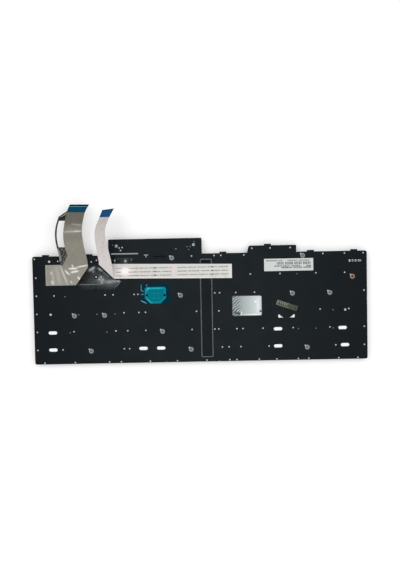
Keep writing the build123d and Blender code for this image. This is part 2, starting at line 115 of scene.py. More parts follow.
# The ribbons' edges, from the laid end over the fold to the tip: X, Y from the back edge, height over the seat
WIDE_LEFT = [
    (-161.2, -30.6, 0.0), (-151.0, -30.6, 0.0), (-140.0, -30.6, 0.0), (-129.7, -30.6, 0.0), (-129.7, -30.6, 0.05),
    (-134.1, -29.9, 0.25), (-142.9, -10.0, 0.7), (-142.9, -10.0, 0.75), (-136.8, 0.9, 5.0), (-136.8, 0.9, 5.05),
    (-138.4, 8.0, 8.8), (-139.2, 15.8, 11.8), (-139.3, 23.9, 13.3), (-138.0, 32.1, 12.8), (-136.7, 40.3, 10.8),
    (-135.6, 46.6, 8.8), (-132.4, 53.3, 6.7),
]
WIDE_RIGHT = [
    (-161.2, -9.0, 0.0), (-149.0, -9.0, 0.0), (-137.6, -9.0, 0.0), (-116.6, -12.2, 0.0), (-116.6, -12.2, 0.05),
    (-116.6, -11.8, 0.15), (-116.4, -10.8, 0.4), (-116.4, -10.2, 0.7), (-116.9, -4.0, 1.7), (-117.4, -1.3, 2.3),
    (-119.0, 7.1, 4.3), (-120.2, 15.4, 6.3), (-120.9, 23.6, 7.3), (-120.5, 31.9, 6.8), (-118.9, 40.2, 5.3),
    (-117.5, 46.4, 3.8), (-113.3, 53.2, 2.2),
]
BACKLIGHT_LEFT = [
    (33.8, -11.3, 0.0), (-15.0, -10.4, 0.0), (-60.0, -9.6, 0.0), (-105.5, -8.8, 0.0), (-105.5, -8.8, 0.05),
    (-104.6, -7.6, 0.9), (-105.8, -1.5, 2.7), (-106.5, 6.9, 5.2), (-107.5, 15.2, 7.2), (-107.9, 23.4, 8.2),
    (-106.0, 31.6, 7.7), (-102.2, 39.9, 6.2), (-99.6, 47.1, 3.9),
]
BACKLIGHT_RIGHT = [
    (33.8, -26.1, 0.0), (-10.0, -25.5, 0.0), (-50.0, -24.9, 0.0), (-89.8, -24.4, 0.0), (-89.8, -24.4, 0.05),
    (-90.7, -10.1, 5.7), (-92.0, -1.7, 8.9), (-93.3, 6.6, 13.2), (-95.0, 14.8, 15.7), (-95.9, 22.9, 17.2),
    (-94.4, 31.1, 17.2), (-91.0, 39.3, 16.2), (-86.3, 48.0, 13.3),
]
SIDE_STRIP = [
    (-145.3, -9.0, 0.4), (-145.2, -2.7, 4.0), (-146.2, 7.6, 10.6), (-147.2, 15.9, 14.6), (-147.1, 24.1, 16.2),
    (-146.0, 32.4, 15.4), (-143.4, 40.6, 13.0),
]
TAIL_START = 4

# Painted glints, glare and sheen on the ribbons and the tapes, with painted shade along the wide tail's flap edge, pale
# lines on the white ribbon's laid part and grey specks on its tail: X, Y from the back edge, half length, half width,
# turn and strength
WIDE_LAID_GLINTS = [
    (-154.2, -27.5, 2.1, 0.7, -77, 0.95), (-155.7, -17.2, 2.2, 0.6, -71, 0.5), (-142.0, -19.8, 10.0, 0.6, -70, 0.6),
    (-153.5, -21.5, 7.7, 0.6, -81, 0.35), (-148.0, -20.0, 11.0, 2.0, -80, 0.15), (-157.5, -20.0, 11.0, 1.8, -86, -0.12),
]
WIDE_TAIL_GLINTS_AND_SHADE = [
    (-139.0, -16.8, 3.9, 0.75, -44, 1.3), (-132.2, -13.1, 4.2, 0.8, 1, 1.2), (-130.6, -16.4, 4.0, 0.8, 10, 1.3),
    (-125.9, -23.9, 2.6, 0.65, -54, 1.2), (-134.4, -28.0, 1.8, 0.85, -77, 1.2), (-122.4, -10.8, 5.8, 0.65, 10, 1.0),
    (-132.5, -10.3, 1.6, 0.6, -66, 0.9), (-138.9, -20.2, 9.8, 0.5, -63, 0.6), (-137.5, -20.8, 9.0, 0.7, -63, -0.3),
    # A painted highlight along the wide tail's crest, a fainter one above it, and a broad painted sheen round them
    (-130.3, 25.3, 9.0, 0.8, 2, 0.3), (-124.5, 25.6, 4.0, 0.7, 2, 0.3), (-126.0, 32.4, 5.0, 0.8, -6, 0.22),
    (-129.5, 27.0, 9.0, 5.0, 0, 0.1),
]
# The white ribbon's laid part: a painted glare, and pale lines along its lower edge and its end
WHITE_LAID_GLARE_AND_LINES = [
    (-77.5, -17.0, 4.0, 6.0, 90, 0.95), (-28.0, -25.0, 62.0, 0.6, -0.8, 0.7), (33.2, -18.7, 6.8, 0.6, 90, 0.6),
]
WHITE_TAIL_CREASES = [
    (-89.9, 38.5, 1.0, 0.9, 0, -1.2), (-97.0, 36.0, 0.8, 0.8, 0, -0.5), (-98.6, 27.0, 0.8, 0.8, 0, -0.4),
    (-102.8, 23.0, 0.8, 0.8, 0, -0.45), (-98.3, 13.0, 0.9, 0.9, 0, -0.5), (-99.5, 9.0, 0.9, 0.9, 0, -0.4),
    (-98.6, -1.0, 0.8, 0.8, 0, -0.4), (-97.0, -5.0, 0.8, 0.8, 0, -0.35),
]
TAPE_GLINTS = [
    (-112.6, -13.9, 3.9, 1.4, 31, 0.8), (-111.0, -16.5, 1.8, 1.3, 40, 0.45), (-103.0, -25.9, 4.4, 3.8, -60, 0.4),
    (-105.2, -25.0, 0.9, 0.5, 20, 0.4), (-102.4, -28.6, 1.4, 0.6, -50, 0.4), (-101.2, -25.4, 1.0, 0.6, 60, 0.4),
    (-103.2, -22.2, 1.0, 0.9, 0, 0.5), (-104.5, -14.5, 2.8, 1.2, -40, 0.55), (-90.5, -27.2, 8.0, 2.0, 6, 0.4),
    (-84.6, -27.3, 1.8, 1.0, 20, 0.4), (-99.5, -18.5, 7.0, 0.8, -43, 0.3), (-97.0, -24.0, 7.0, 5.0, -30, 0.1),
    (-115.9, -30.1, 12.4, 0.45, 0, 0.5), (-108.0, -34.0, 18.0, 2.0, 0, 0.03), (-85.9, -31.3, 5.4, 0.6, 45, 0.25),
    (-92.0, -30.5, 8.0, 4.0, 0, 0.14), (-88.3, -6.6, 3.4, 0.5, 90, 0.45), (-77.2, -6.0, 1.0, 1.0, 0, 0.9),
    (-77.2, -7.0, 2.2, 1.8, 90, 0.3), (-71.0, -5.0, 1.4, 0.6, 60, 0.4), (-78.0, -3.6, 9.0, 0.4, 0, 0.2),
]

# Rivet heads on the back: rows, each with its Y and its X places, and then single ones, in millimetres
STAKE_ROWS = [
    (46.2, (15.5, 22.5, 46.5, 129.0, 151.5, 171.0)),
    (53.0, (55.0, 74.0, 95.0)),
    (26.1, (-171.5, 53.0, 84.0, 121.5, 151.5)),
    (7.1, (-171.5, -153.0, -99.5, -91.0, -69.0, -65.0, 15.5, 20.5, 37.5, 57.0, 171.5)),
    (-11.9, (-171.5, -80.0, -64.5, -57.5, -4.0, 19.5, 125.5, 155.5)),
    (-30.9, (-171.5, -133.0, -89.0, -76.5, -57.5, -9.0, 15.0, 19.0, 38.0, 44.5, 65.5, 97.0, 135.5, 171.5)),
    (-49.9, (-171.5, -145.0, -80.5, -75.0, 22.5, 29.5, 42.0, 71.5, 141.5, 171.5)),
    (-63.6, (-164.5, -132.5, -96.5, -84.0, -53.5, -25.0, 6.0, 30.0, 37.5, 61.0, 79.5, 102.0, 113.0, 144.5, 164.5)),
]
STAKES = [
    (-172.5, 45.9), (-148.0, 43.3), (-145.5, 44.2), (-113.0, 42.0), (-107.5, 43.5), (-88.5, 43.0), (-83.5, 56.0),
    (-80.3, 56.4), (-82.2, 53.3), (-8.1, 46.2),
]
LARGE_STAKES = [(-157.0, 43.0), (-157.0, -12.6), (151.7, -13.0)]
FAINT_STAKES = [
    (-90.3, 59.1), (-5.3, 61.1), (-12.6, 56.1), (-9.5, 56.1), (-10.9, 53.1), (-141.5, 6.0), (-127.5, -13.0),
    (-108.5, -13.0), (-89.5, -13.0), (139.0, -13.0), (-137.0, -32.0), (-98.5, -32.0), (102.5, -32.0), (101.6, 25.5),
    (121.0, -32.0), (139.0, -32.0), (-36.5, -64.3), (19.0, -64.3),
]

# Round fittings from pole to pole: shares of the radius and heights over the back plate
STAKE_STEPS = [(0.0, -0.05), (1.0, -0.05), (1.0, 0.12), (0.86, 0.2), (0.55, 0.27), (0.25, 0.3), (0.0, 0.3)]
INSERT_STEPS = [
    (0.0, -0.45), (0.76, -0.45), (0.76, -0.03), (1.0, -0.03), (1.0, 0.2), (0.92, 0.3), (0.74, 0.3), (0.68, 0.2),
    (0.6, 0.2), (0.55, 0.3), (0.46, 0.3), (0.4, 0.22), (0.4, -0.35), (0.0, -0.35),
]
LUG_STEPS = [(0.0, -0.05), (1.0, -0.05), (1.0, 0.16), (0.7, 0.24), (0.0, 0.24)]
TAPED_RING_STEPS = [(0.0, 0.05), (1.0, 0.05), (1.0, 0.34), (0.0, 0.34)]
TAPED_STAKE_STEPS = [(0.0, 0.3), (1.0, 0.3), (1.0, 0.4), (2 / 3, 0.46), (0.0, 0.48)]

# Inserts and slots, in key units from the middle and rows from the front margin
INSERT_PLACES = [
    (-7.1, 2.37), (-5.4, 2.37), (-6.2, 0.4), (-0.55, 0.4), (6.0, 0.4), (-2.15, 1.42), (-1.55, 5.47), (5.8, 5.47),
    (-1.1, 3.4), (5.2, 3.4), (7.3, 3.4),
]
BRASS_PLACE = (8.58, 4.27)
OVAL_PLACES = [
    (-8.35, 1.45), (-8.35, 0.5), (-3.25, 0.5), (-2.25, 0.5), (4.36, 1.45), (4.36, 0.5), (8.0, 1.45), (8.13, 0.5),
]
WING_PLACE = (4.85, 2.16)

# Legends of the keys that move by themselves, then of the like keys: row, start in key units and letters
MOVING_LEGENDS = {
    "fn_key": "Fn", "left_control_key": "Ctrl", "system_key": "", "left_alt_key": "Alt", "space_bar": "",
    "right_alt_key": "Alt", "print_screen_key": "PrtSc", "right_control_key": "Ctrl", "left_shift_key": "Shift",
    "right_shift_key": "Shift", "caps_lock_key": "Caps Lock", "enter_key": "Enter", "tab_key": "Tab",
    "backslash_key": "\\", "backspace_key": "Backspace", "page_up_key": "PgUp", "up_key": "^", "page_down_key": "PgDn",
    "left_key": "<", "down_key": "v", "right_key": ">", "pad_lock_key": "Num", "pad_divide_key": "/",
    "pad_multiply_key": "*", "pad_minus_key": "-", **{f"pad_{digit}_key": digit for digit in "789456123"},
    "pad_dot_key": ".", "pad_plus_key": "+", "pad_enter_key": "Enter", "pad_0_key": "0",
}
LIKE_ROWS = [(1, 2.25, "ZXCVBNM,./"), (2, 1.75, "ASDFGHJKL;'"), (3, 1.5, "QWERTYUIOP[]"), (4, 0.0, "`1234567890-=")]
FUNCTION_LEGENDS = ["Esc"] + [f"F{number}" for number in range(1, 13)] + ["Home", "End", "Ins", "Del"]

# Places along a side of a keycap's rim: shares of its straight part and of its corner's radius
RIM_STRAIGHT = np.array([-1.0, -1.0, -1.0, -0.45, 0.0, 0.45, 1.0, 1.0])
RIM_ROUND = np.array([-1.0, -0.65, 0.0, 0.0, 0.0, 0.0, 0.0, 0.65])

# The photograph's view, fitted to the plate's edges and key rows
PHOTO_HEIGHT = 570
FOCAL_PX = 764.6
SENSOR_MM = 36.0
VIEW_DISTANCE = 800.0
VIEW_TARGET = (0.2, 15.65, 5.3)
VIEW_TILT_DEG = -2.773
VIEW_LEAN_DEG = 0.297
VIEW_ROLL_DEG = -1.101

# Ranges of the noise that grains and flecks are read from, and a full turn
GRAIN_SPAN = (0.3, 0.7)
FLECK_SPAN = (0.35, 0.7)
FULL_TURN = 6.2832


class Slot(Enum):
    """The record's material slots, named alongside each new piece's finish."""

    PLATE = "plate_paint"
    KEY = "key_plastic"
    DOME = "dome_rubber"
    STEEL = "insert_steel"
    BRASS = "insert_brass"
    STICK = "stick_rubber"
    MODULE = "module_steel"
    LABEL = "label_paper"
    STICKER = "sticker_paper"
    TEAL = "teal_film"
    BLACK_FILM = "black_film"
    TAPE = "clear_tape"
    GREY_RIBBON = "grey_ribbon"
    STIFFENER = "blue_stiffener"
    BLACK_RIBBON = "black_ribbon"
    WHITE_RIBBON = "white_ribbon"


def linear(colour: Colour) -> tuple[float, ...]:
    """A colour written from 0 to 255 as seen on a screen, turned into linear light and opaque.

    Args:
        colour: the shares of red, green and blue.

    Returns:
        The shares in linear light, from 0 to 1, and an alpha of 1.
    """
    shares = np.array(colour) / 255
    light = np.where(shares <= 0.04045, shares / 12.92, ((shares + 0.055) / 1.055) ** 2.4)
    return (*light.tolist(), 1.0)


class NodeSheet:
    """The node tree of a material or a world, with short calls that add nodes and join them."""

    def __init__(self, holder: bpy.types.Material | bpy.types.World) -> None:
        """Starts the tree with a shader joined to its output.

        Args:
            holder: the new material or world.
        """
        holder.use_nodes = True
        self.tree = holder.node_tree
        self.tree.nodes.clear()
        world = isinstance(holder, bpy.types.World)
        shader, output = ("Background", "OutputWorld") if world else ("BsdfPrincipled", "OutputMaterial")
        self.shader = self.add(shader)
        self.add(output, {"Surface": self.shader.outputs[0]})

    def add(self, kind: str, inputs: dict | None = None, **settings: object) -> bpy.types.Node:
        """Adds a node.

        Args:
            kind: the node's type, without the start that all shader nodes share.
            inputs: socket names or numbers, each with a value or a socket to join.
            settings: the node's own settings.

        Returns:
            The new node.
        """
        node = self.tree.nodes.new("ShaderNode" + kind)
        for key, value in settings.items():
            setattr(node, key, value)
        self.feed(node, inputs or {})
        return node

    def feed(self, node: bpy.types.Node, inputs: dict) -> None:
        """Fills a node's inputs.

        Args:
            node: the node.
            inputs: socket names or numbers, each with a value or a socket to join.
        """
        for key, value in inputs.items():
            if isinstance(value, Socket):
                self.tree.links.new(value, node.inputs[key])
            else:
                node.inputs[key].default_value = value

    def place(self, stretch: Point = (1.0, 1.0, 1.0)) -> Socket:
        """Object coordinates, stretched."""
        point = self.add("TexCoord").outputs["Object"]
        return self.add("Mapping", {"Vector": point, "Scale": stretch}).outputs[0]

    def along(self, kind: str, index: int) -> Socket:
        """One coordinate of a kind: Object, in metres, or UV, the piece's own map."""
        point = self.add("TexCoord").outputs[kind]
        return self.add("SeparateXYZ", {0: point}).outputs[index]

    def tint(self) -> Socket:
        """The piece's own tint, from 0 to 1."""
        return self.add("Attribute", attribute_name=TINT).outputs["Fac"]

    def seen(self, unseen: float, seen: float) -> Socket:
        """A value for rays from the camera, from gloss and through clear pieces, and another for the rest.

        Args:
            unseen: the value for the rest.
            seen: the value for those rays.

        Returns:
            The value's socket.
        """
        path = self.add("LightPath").outputs
        shiny = self.sums("MAXIMUM", path["Is Glossy Ray"], path["Is Transmission Ray"])
        return self.span(self.sums("MAXIMUM", path["Is Camera Ray"], shiny), (0.0, 1.0), (unseen, seen))

    def noise(self, place: Socket, scale: float, detail: float = 3.0) -> Socket:
        """Cloudy noise with so many spots to the metre."""
        inputs = {"Vector": place, "Scale": scale, "Detail": detail, "Roughness": 0.6}
        return self.add("TexNoise", inputs).outputs[0]

    def span(self, value: Socket, old: Place, new: Place) -> Socket:
        """A value carried from one range to another, held at its ends."""
        inputs = {"Value": value, 1: old[0], 2: old[1], 3: new[0], 4: new[1]}
        return self.add("MapRange", inputs, clamp=True).outputs[0]

    def sums(self, kind: str, first: Socket, second: Socket | float = 0.0) -> Socket:
        """One or two values put through a sum of a kind."""
        return self.add("Math", {0: first, 1: second}, operation=kind).outputs[0]

    def mix(self, share: Socket, first: Socket | Colour, second: Socket | Colour) -> Socket:
        """Two colours mixed by a share."""
        pair = [colour if isinstance(colour, Socket) else linear(colour) for colour in (first, second)]
        return self.add("Mix", {0: share, 6: pair[0], 7: pair[1]}, data_type="RGBA").outputs[2]

    def ramp(self, value: Socket, stops: Stops, sharp: bool = False) -> Socket:
        """Colours along a value.

        Args:
            value: the value, from 0 to 1.
            stops: pairs of a place and a colour.
            sharp: whether each colour holds up to the next place.

        Returns:
            The colour's socket.
        """
        node = self.add("ValToRGB", {0: value})
        node.color_ramp.interpolation = "CONSTANT" if sharp else "LINEAR"
        while len(node.color_ramp.elements) < len(stops):
            node.color_ramp.elements.new(1.0)
        for element, (place, colour) in zip(node.color_ramp.elements, stops):
            element.position = place
            element.color = linear(colour)
        return node.outputs[0]


@dataclass(frozen=True)
class Finish:
    """A surface with two close colours in a fine grain, and roughness and bump from the same grain."""

    name: str
    dark: Colour = (0, 0, 0)
    light: Colour = (255, 255, 255)
    grain: float = 2500.0
    rough: Place = (0.5, 0.6)
    metal: float = 0.0
    shine: float = 0.3
    bump: float = 0.15
    depth: float = 0.00003
    grain_part: float = 0.6
    drift_part: float = 0.4
    drift_times: float = 60.0

    def colour(self, sheet: NodeSheet, grain: Socket) -> Socket:
        """The grain's two colours, with a slow drift over the piece.

        Args:
            sheet: the material's nodes.
            grain: the grain's noise.

        Returns:
            The colour's socket.
        """
        drift = sheet.noise(sheet.place(), self.grain / self.drift_times, 2.0)
        fine = sheet.span(grain, GRAIN_SPAN, (0.0, self.grain_part))
        slow = sheet.span(drift, GRAIN_SPAN, (0.0, self.drift_part))
        return sheet.mix(sheet.sums("ADD", fine, slow), self.dark, self.light)

    def extra(self) -> dict[str, float]:
        """More inputs of the shader, where a finish has them."""
        return {}

    def material(self) -> bpy.types.Material:
        """The finish as a material, made once.

        Returns:
            The material.
        """
        known = bpy.data.materials.get(self.name)
        if known is not None:
            return known
        made = bpy.data.materials.new(self.name)
        sheet = NodeSheet(made)
        grain = sheet.noise(sheet.place(), self.grain)
        bump = sheet.add("Bump", {"Height": grain, "Strength": self.bump, "Distance": self.depth})
        inputs = {
            "Base Color": self.colour(sheet, grain),
            "Roughness": sheet.span(grain, GRAIN_SPAN, self.rough),
            "Metallic": self.metal,
            "Specular IOR Level": self.shine,
            "Normal": bump.outputs[0],
        }
        sheet.feed(sheet.shader, inputs | self.extra())
        return made


@dataclass(frozen=True)
class PlatePaint(Finish):
    """Black paint, a little darker towards the plate's sides."""

    side: Colour = (0, 0, 0)
    side_span_m: Place = (0.06, 0.175)
    side_share: float = 0.8

    def colour(self, sheet: NodeSheet, grain: Socket) -> Socket:
        """The grain's two colours, and the sides' colour far from the middle."""
        share = sheet.span(sheet.sums("ABSOLUTE", sheet.along("Object", 0)), self.side_span_m, (0.0, self.side_share))
        return sheet.mix(share, super().colour(sheet, grain), self.side)


@dataclass(frozen=True)
class TintedFinish(Finish):
    """A finish whose colour runs along the piece's own tint, from 0 to 1."""

    stops: Stops = ()
    fleck_share: float = 0.12

    def colour(self, sheet: NodeSheet, grain: Socket) -> Socket:
        """The tint's colour with light flecks of the grain."""
        flecks = sheet.span(grain, FLECK_SPAN, (0.0, self.fleck_share))
        return sheet.mix(flecks, sheet.ramp(sheet.tint(), self.stops), self.light)


@dataclass(frozen=True)
class ClearFilm(TintedFinish):
    """Clear tape, seen by painted glints over its wrinkles, that lets what lies under it show."""

    cover: float = 0.5

    def extra(self) -> dict[str, float]:
        """How much of the light the tape holds back."""
        return {"Alpha": self.cover}


@dataclass(frozen=True)
class RibbonFilm(Finish):
    """A ribbon's film, with colours along its length that darken up the tail as painted shade, fine lines of
    conductors, smudges, and painted glints, sheen and shade and specks from its tint.
    """

    stops: Stops = ()
    # The colour of painted glints, glare and sheen, where the tint rises over its middle
    glint_colour: Colour = (255, 255, 255)
    lines: float = 40.0
    line_share: float = 0.12
    line_span: Place = (0.2, 1.0)
    smudge_share: float = 0.3
    smudges: float = 260.0
    smudge_stretch: Point = (1.0, 0.6, 1.0)
    dark_span: Place = (0.56, 0.74)
    pale_span: Place = (0.46, 0.3)

    def colour(self, sheet: NodeSheet, grain: Socket) -> Socket:
        """Colours along the ribbon, darkening up the tail as painted shade, with fine lines and smudges, paled over the
        middle of the tint as painted glints and sheen and dulled under it as painted shade and specks.

        Args:
            sheet: the material's nodes.
            grain: the grain's noise, which this film doesn't show in its colour.

        Returns:
            The colour's socket.
        """
        wave = sheet.sums("SINE", sheet.sums("MULTIPLY", sheet.along("UV", 0), FULL_TURN * self.lines))
        drift = sheet.noise(sheet.place(self.smudge_stretch), self.smudges)
        tint = sheet.tint()
        # Colours along the run; their darkening up the tail is painted shade
        shown = sheet.ramp(sheet.along("UV", 1), self.stops)
        layers = (
            (wave, self.line_span, self.line_share, self.dark),
            (drift, self.dark_span, self.smudge_share, self.dark),
            (drift, self.pale_span, self.smudge_share, self.light),
            # Under the tint's middle: painted shade and specks; over it: painted glints and sheen
            (tint, (0.5, 0.0), 1.0, self.dark),
            (tint, (0.5, 1.0), 1.0, self.glint_colour),
        )
        for value, span, share, over in layers:
            shown = sheet.mix(sheet.span(value, span, (0.0, share)), shown, over)
        return shown


@dataclass(frozen=True)
class BandedTip(Finish):
    """A ribbon's stiffened end, with sharp bands of colour towards its tip and dark sides."""

    stops: Stops = ()
    side: Colour = (0, 0, 0)
    side_span: Place = (0.44, 0.47)
    side_share: float = 0.85
    fleck_share: float = 0.12

    def colour(self, sheet: NodeSheet, grain: Socket) -> Socket:
        """Bands along the tip, dark at both sides, with light flecks of the grain.

        Args:
            sheet: the material's nodes.
            grain: the grain's noise.

        Returns:
            The colour's socket.
        """
        off_middle = sheet.sums("ABSOLUTE", sheet.sums("SUBTRACT", sheet.along("UV", 0), 0.5))
        sides = sheet.span(off_middle, self.side_span, (0.0, self.side_share))
        sided = sheet.mix(sides, sheet.ramp(sheet.along("UV", 1), self.stops, sharp=True), self.side)
        return sheet.mix(sheet.span(grain, FLECK_SPAN, (0.0, self.fleck_share)), sided, self.light)


def level(flat: np.ndarray, z: float | np.ndarray) -> np.ndarray:
    """Flat places put at a height, or each at its own."""
    return np.concatenate([flat, np.broadcast_to(z, flat.shape[:-1])[..., None]], -1)


def walls(loops: int, corners: int) -> np.ndarray:
    """Faces between closed loops in a row: each corner and the next, on a loop and on the loop after it.

    Args:
        loops: the number of loops.
        corners: corners in a loop.

    Returns:
        Corner numbers of shape (faces, 4).
    """
    here, corner = np.meshgrid(np.arange(loops - 1) * corners, np.arange(corners), indexing="ij")
    after = (corner + 1) % corners
    there = here + corners
    return np.stack([here + corner, here + after, there + after, there + corner], -1).reshape(-1, 4)


def run_along(line: np.ndarray) -> np.ndarray:
    """How far along a line each of its points lies."""
    steps = np.linalg.norm(np.diff(line, axis=0), axis=1)
    return np.concatenate([[0.0], np.cumsum(steps)])


@dataclass
class Shape:
    """A mesh in the making: places in millimetres, faces as arrays of corner numbers, UV places and a tint."""

    points: np.ndarray
    faces: list[np.ndarray]
    uv: np.ndarray | None = None
    tint: np.ndarray | None = None

    @staticmethod
    def join(shapes: list["Shape"]) -> "Shape":
        """Several shapes as one, with the corner numbers of each moved past those before it.

        Args:
            shapes: the shapes, without UV places.

        Returns:
            The joined shape, with a tint where all of them have one.
        """
        starts = np.cumsum([0] + [len(shape.points) for shape in shapes])
        faces = [face + start for shape, start in zip(shapes, starts) for face in shape.faces]
        tints = [shape.tint for shape in shapes]
        tint = None if any(one is None for one in tints) else np.concatenate(tints)
        return Shape(np.concatenate([shape.points for shape in shapes]), faces, tint=tint)

    @staticmethod
    def ringed(loops: np.ndarray, first: np.ndarray, last: np.ndarray) -> "Shape":
        """Closed forms of loops stacked from one pole to another.

        Args:
            loops: places of shape (copies, loops, corners, 3).
            first: the poles before the first loops, of shape (copies, 3).
            last: the poles after the last loops, of shape (copies, 3).

        Returns:
            The joined closed forms.
        """
        copies, rows, corners = loops.shape[:3]
        block = rows * corners + 2
        points = np.concatenate([loops.reshape(copies, -1, 3), first[:, None], last[:, None]], axis=1)
        edge = np.arange(corners)
        turn = (edge + 1) % corners
        top = (rows - 1) * corners
        low = np.stack([np.full(corners, block - 2), turn, edge], -1)
        high = np.stack([np.full(corners, block - 1), top + edge, top + turn], -1)
        moved = (np.arange(copies) * block)[:, None, None]
        faces = [(face + moved).reshape(-1, face.shape[1]) for face in (walls(rows, corners), low, high)]
        return Shape(points.reshape(-1, 3), faces)

    @staticmethod
    def turned(profile: Sequence[Place], centres: np.ndarray, corners: int) -> "Shape":
        """Closed round forms: each pair of radius and height goes round the middle of each centre.

        Args:
            profile: radius and height from one pole to the other. The first and last are the poles.
            centres: places of shape (copies, 2).
            corners: corners in a loop.

        Returns:
            The joined round forms.
        """
        radius, height = np.array(profile).T
        angle = np.linspace(0, 2 * np.pi, corners, endpoint=False)
        flat = radius[1:-1, None, None] * np.stack([np.cos(angle), np.sin(angle)], -1)
        places = level(centres, 0.0)
        loops = level(flat, height[1:-1, None]) + places[:, None, None]
        return Shape.ringed(loops, *(places + [0.0, 0.0, end] for end in height[[0, -1]]))

    @staticmethod
    def sheet(top: np.ndarray, thickness: float, tint: np.ndarray | None = None) -> "Shape":
        """A closed thin sheet under a grid of places, with UV across and along it.

        Args:
            top: places of shape (rows along, columns across, 3).
            thickness: how far the underside lies below the top.
            tint: the tint of each place, of shape (rows, columns).

        Returns:
            The closed sheet.
        """
        rows, columns = top.shape[:2]
        round_it = 2 * columns
        ring = np.concatenate([top, top[:, ::-1] - [0.0, 0.0, thickness]], axis=1)
        across = np.linspace(0, 1, columns)
        run = run_along(top[:, columns // 2])
        uv = np.stack(np.broadcast_arrays(np.concatenate([across, across[::-1]]), (run / run[-1])[:, None]), -1)
        step = np.arange(columns - 1)
        start = np.stack([step, step + 1, round_it - 2 - step, round_it - 1 - step], -1)
        end = start[:, ::-1] + (rows - 1) * round_it
        if tint is not None:
            tint = np.concatenate([tint, tint[:, ::-1]], axis=1).ravel()
        return Shape(ring.reshape(-1, 3), [walls(rows, round_it), start, end], uv.reshape(-1, 2), tint)

    @staticmethod
    def prisms(outlines: np.ndarray, rise: float) -> "Shape":
        """Closed flat prisms over convex outlines.

        Args:
            outlines: places of shape (copies, corners, 3).
            rise: height of the prisms.

        Returns:
            The joined prisms.
        """
        copies, corners = outlines.shape[:2]
        points = np.stack([outlines, outlines + [0.0, 0.0, rise]], axis=1).reshape(-1, 3)
        start = (np.arange(copies) * 2 * corners)[:, None]
        edge = np.arange(corners)
        sides = (walls(2, corners) + start[..., None]).reshape(-1, 4)
        return Shape(points, [start + edge[::-1], start + edge + corners, sides])

    def put(
        self,
        name: str,
        finish: Finish,
        slot: Slot,
        replaces: str = "",
        body: str = BASE,
        legends: "Shape | None" = None,
    ) -> Piece:
        """Makes the shape an object that rides on a body.

        Args:
            name: the piece's name.
            finish: its finish.
            slot: the record's slot that the finish stands for; not used.
            replaces: the node that it stands for, if any.
            body: the body that it rides on.
            legends: legends printed on it, in a finish of their own.

        Returns:
            The new object.
        """
        whole = self if legends is None else Shape.join([self, legends])
        mesh = bpy.data.meshes.new(name)
        flat = np.concatenate([face.ravel() for face in whole.faces]).astype(np.int32)
        sizes = np.concatenate([np.full(len(face), face.shape[1]) for face in whole.faces])
        mesh.vertices.add(len(whole.points))
        mesh.vertices.foreach_set("co", (whole.points * MM).astype(np.float32).ravel())
        mesh.loops.add(len(flat))
        mesh.loops.foreach_set("vertex_index", flat)
        mesh.polygons.add(len(sizes))
        mesh.polygons.foreach_set("loop_start", (np.cumsum(sizes) - sizes).astype(np.int32))
        own_faces = sum(len(face) for face in self.faces)
        mesh.polygons.foreach_set("material_index", (np.arange(len(sizes)) >= own_faces).astype(np.int32))
        mesh.update(calc_edges=True)
        if whole.uv is not None:
            layer = mesh.uv_layers.new(name="run")
            layer.data.foreach_set("uv", whole.uv[flat].astype(np.float32).ravel())
        if whole.tint is not None:
            layer = mesh.attributes.new(TINT, "FLOAT", "POINT")
            layer.data.foreach_set("value", np.clip(whole.tint, 0, 1).astype(np.float32))
        work = bmesh.new()
        work.from_mesh(mesh)
        bmesh.ops.remove_doubles(work, verts=work.verts, dist=MERGE_M)
        bmesh.ops.recalc_face_normals(work, faces=work.faces)
        work.to_mesh(mesh)
        work.free()
        mesh.polygons.foreach_set("use_smooth", np.ones(len(mesh.polygons), bool))
        mesh.set_sharp_from_angle(angle=np.radians(SHARP_DEG))
        for one in (finish,) if legends is None else (finish, LEGEND_INK):
            mesh.materials.append(one.material())
        piece = bpy.data.objects.new(name, mesh)
        bpy.context.scene.collection.objects.link(piece)
        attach(piece, body)
        if replaces:
            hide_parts(replaces)
        LOG.info("%s: %d points on %s", name, len(mesh.vertices), body)
        return piece


def dress(node: str, finish: Finish) -> None:
    """Gives a node of the frame a finish of its own.

    Args:
        node: the node's name.
        finish: its finish.
    """
    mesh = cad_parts[node].data
    mesh.materials.clear()
    mesh.materials.append(finish.material())
    LOG.info("%s: dressed in %s", node, finish.name)


def curve_mesh(curve: bpy.types.Curve) -> tuple[np.ndarray, np.ndarray]:
    """The points and triangles of a spline or a text, which is then removed.

    Args:
        curve: the spline or text.

    Returns:
        Points of shape (count, 3) and corner numbers of shape (faces, 3).
    """
    mesh = bpy.data.meshes.new_from_object(bpy.data.objects.new(curve.name, curve))
    mesh.calc_loop_triangles()
    points = np.zeros(len(mesh.vertices) * 3)
    mesh.vertices.foreach_get("co", points)
    faces = np.zeros(len(mesh.loop_triangles) * 3, np.int32)
    mesh.loop_triangles.foreach_get("vertices", faces)
    bpy.data.meshes.remove(mesh)
    bpy.data.curves.remove(curve)
    return points.reshape(-1, 3), faces.reshape(-1, 3)


def nurbs_line(route: list[Point]) -> np.ndarray:
    """The smooth line of a NURBS spline of order 3 over its control points.

    Args:
        route: control points as X, Y from the back edge and height over the ribbon's seat.

    Returns:
        The places along the spline, in millimetres.
    """
    points = np.array(route) + [0.0, Y_BACK, Z_RIBBON]
    curve = bpy.data.curves.new("route", "CURVE")
    curve.dimensions = "3D"
    curve.resolution_u = 14
    spline = curve.splines.new("NURBS")
    spline.points.add(len(points) - 1)
    spline.points.foreach_set("co", level(points, 1.0).ravel())
    spline.order_u = 3
    spline.use_endpoint_u = True
    return curve_mesh(curve)[0]


def between(first: np.ndarray, second: np.ndarray, across: int) -> np.ndarray:
    """A grid of places from each point of a line straight to its fellow on another line."""
    share = np.linspace(0, 1, across)[:, None]
    return first[:, None] * (1 - share) + second[:, None] * share


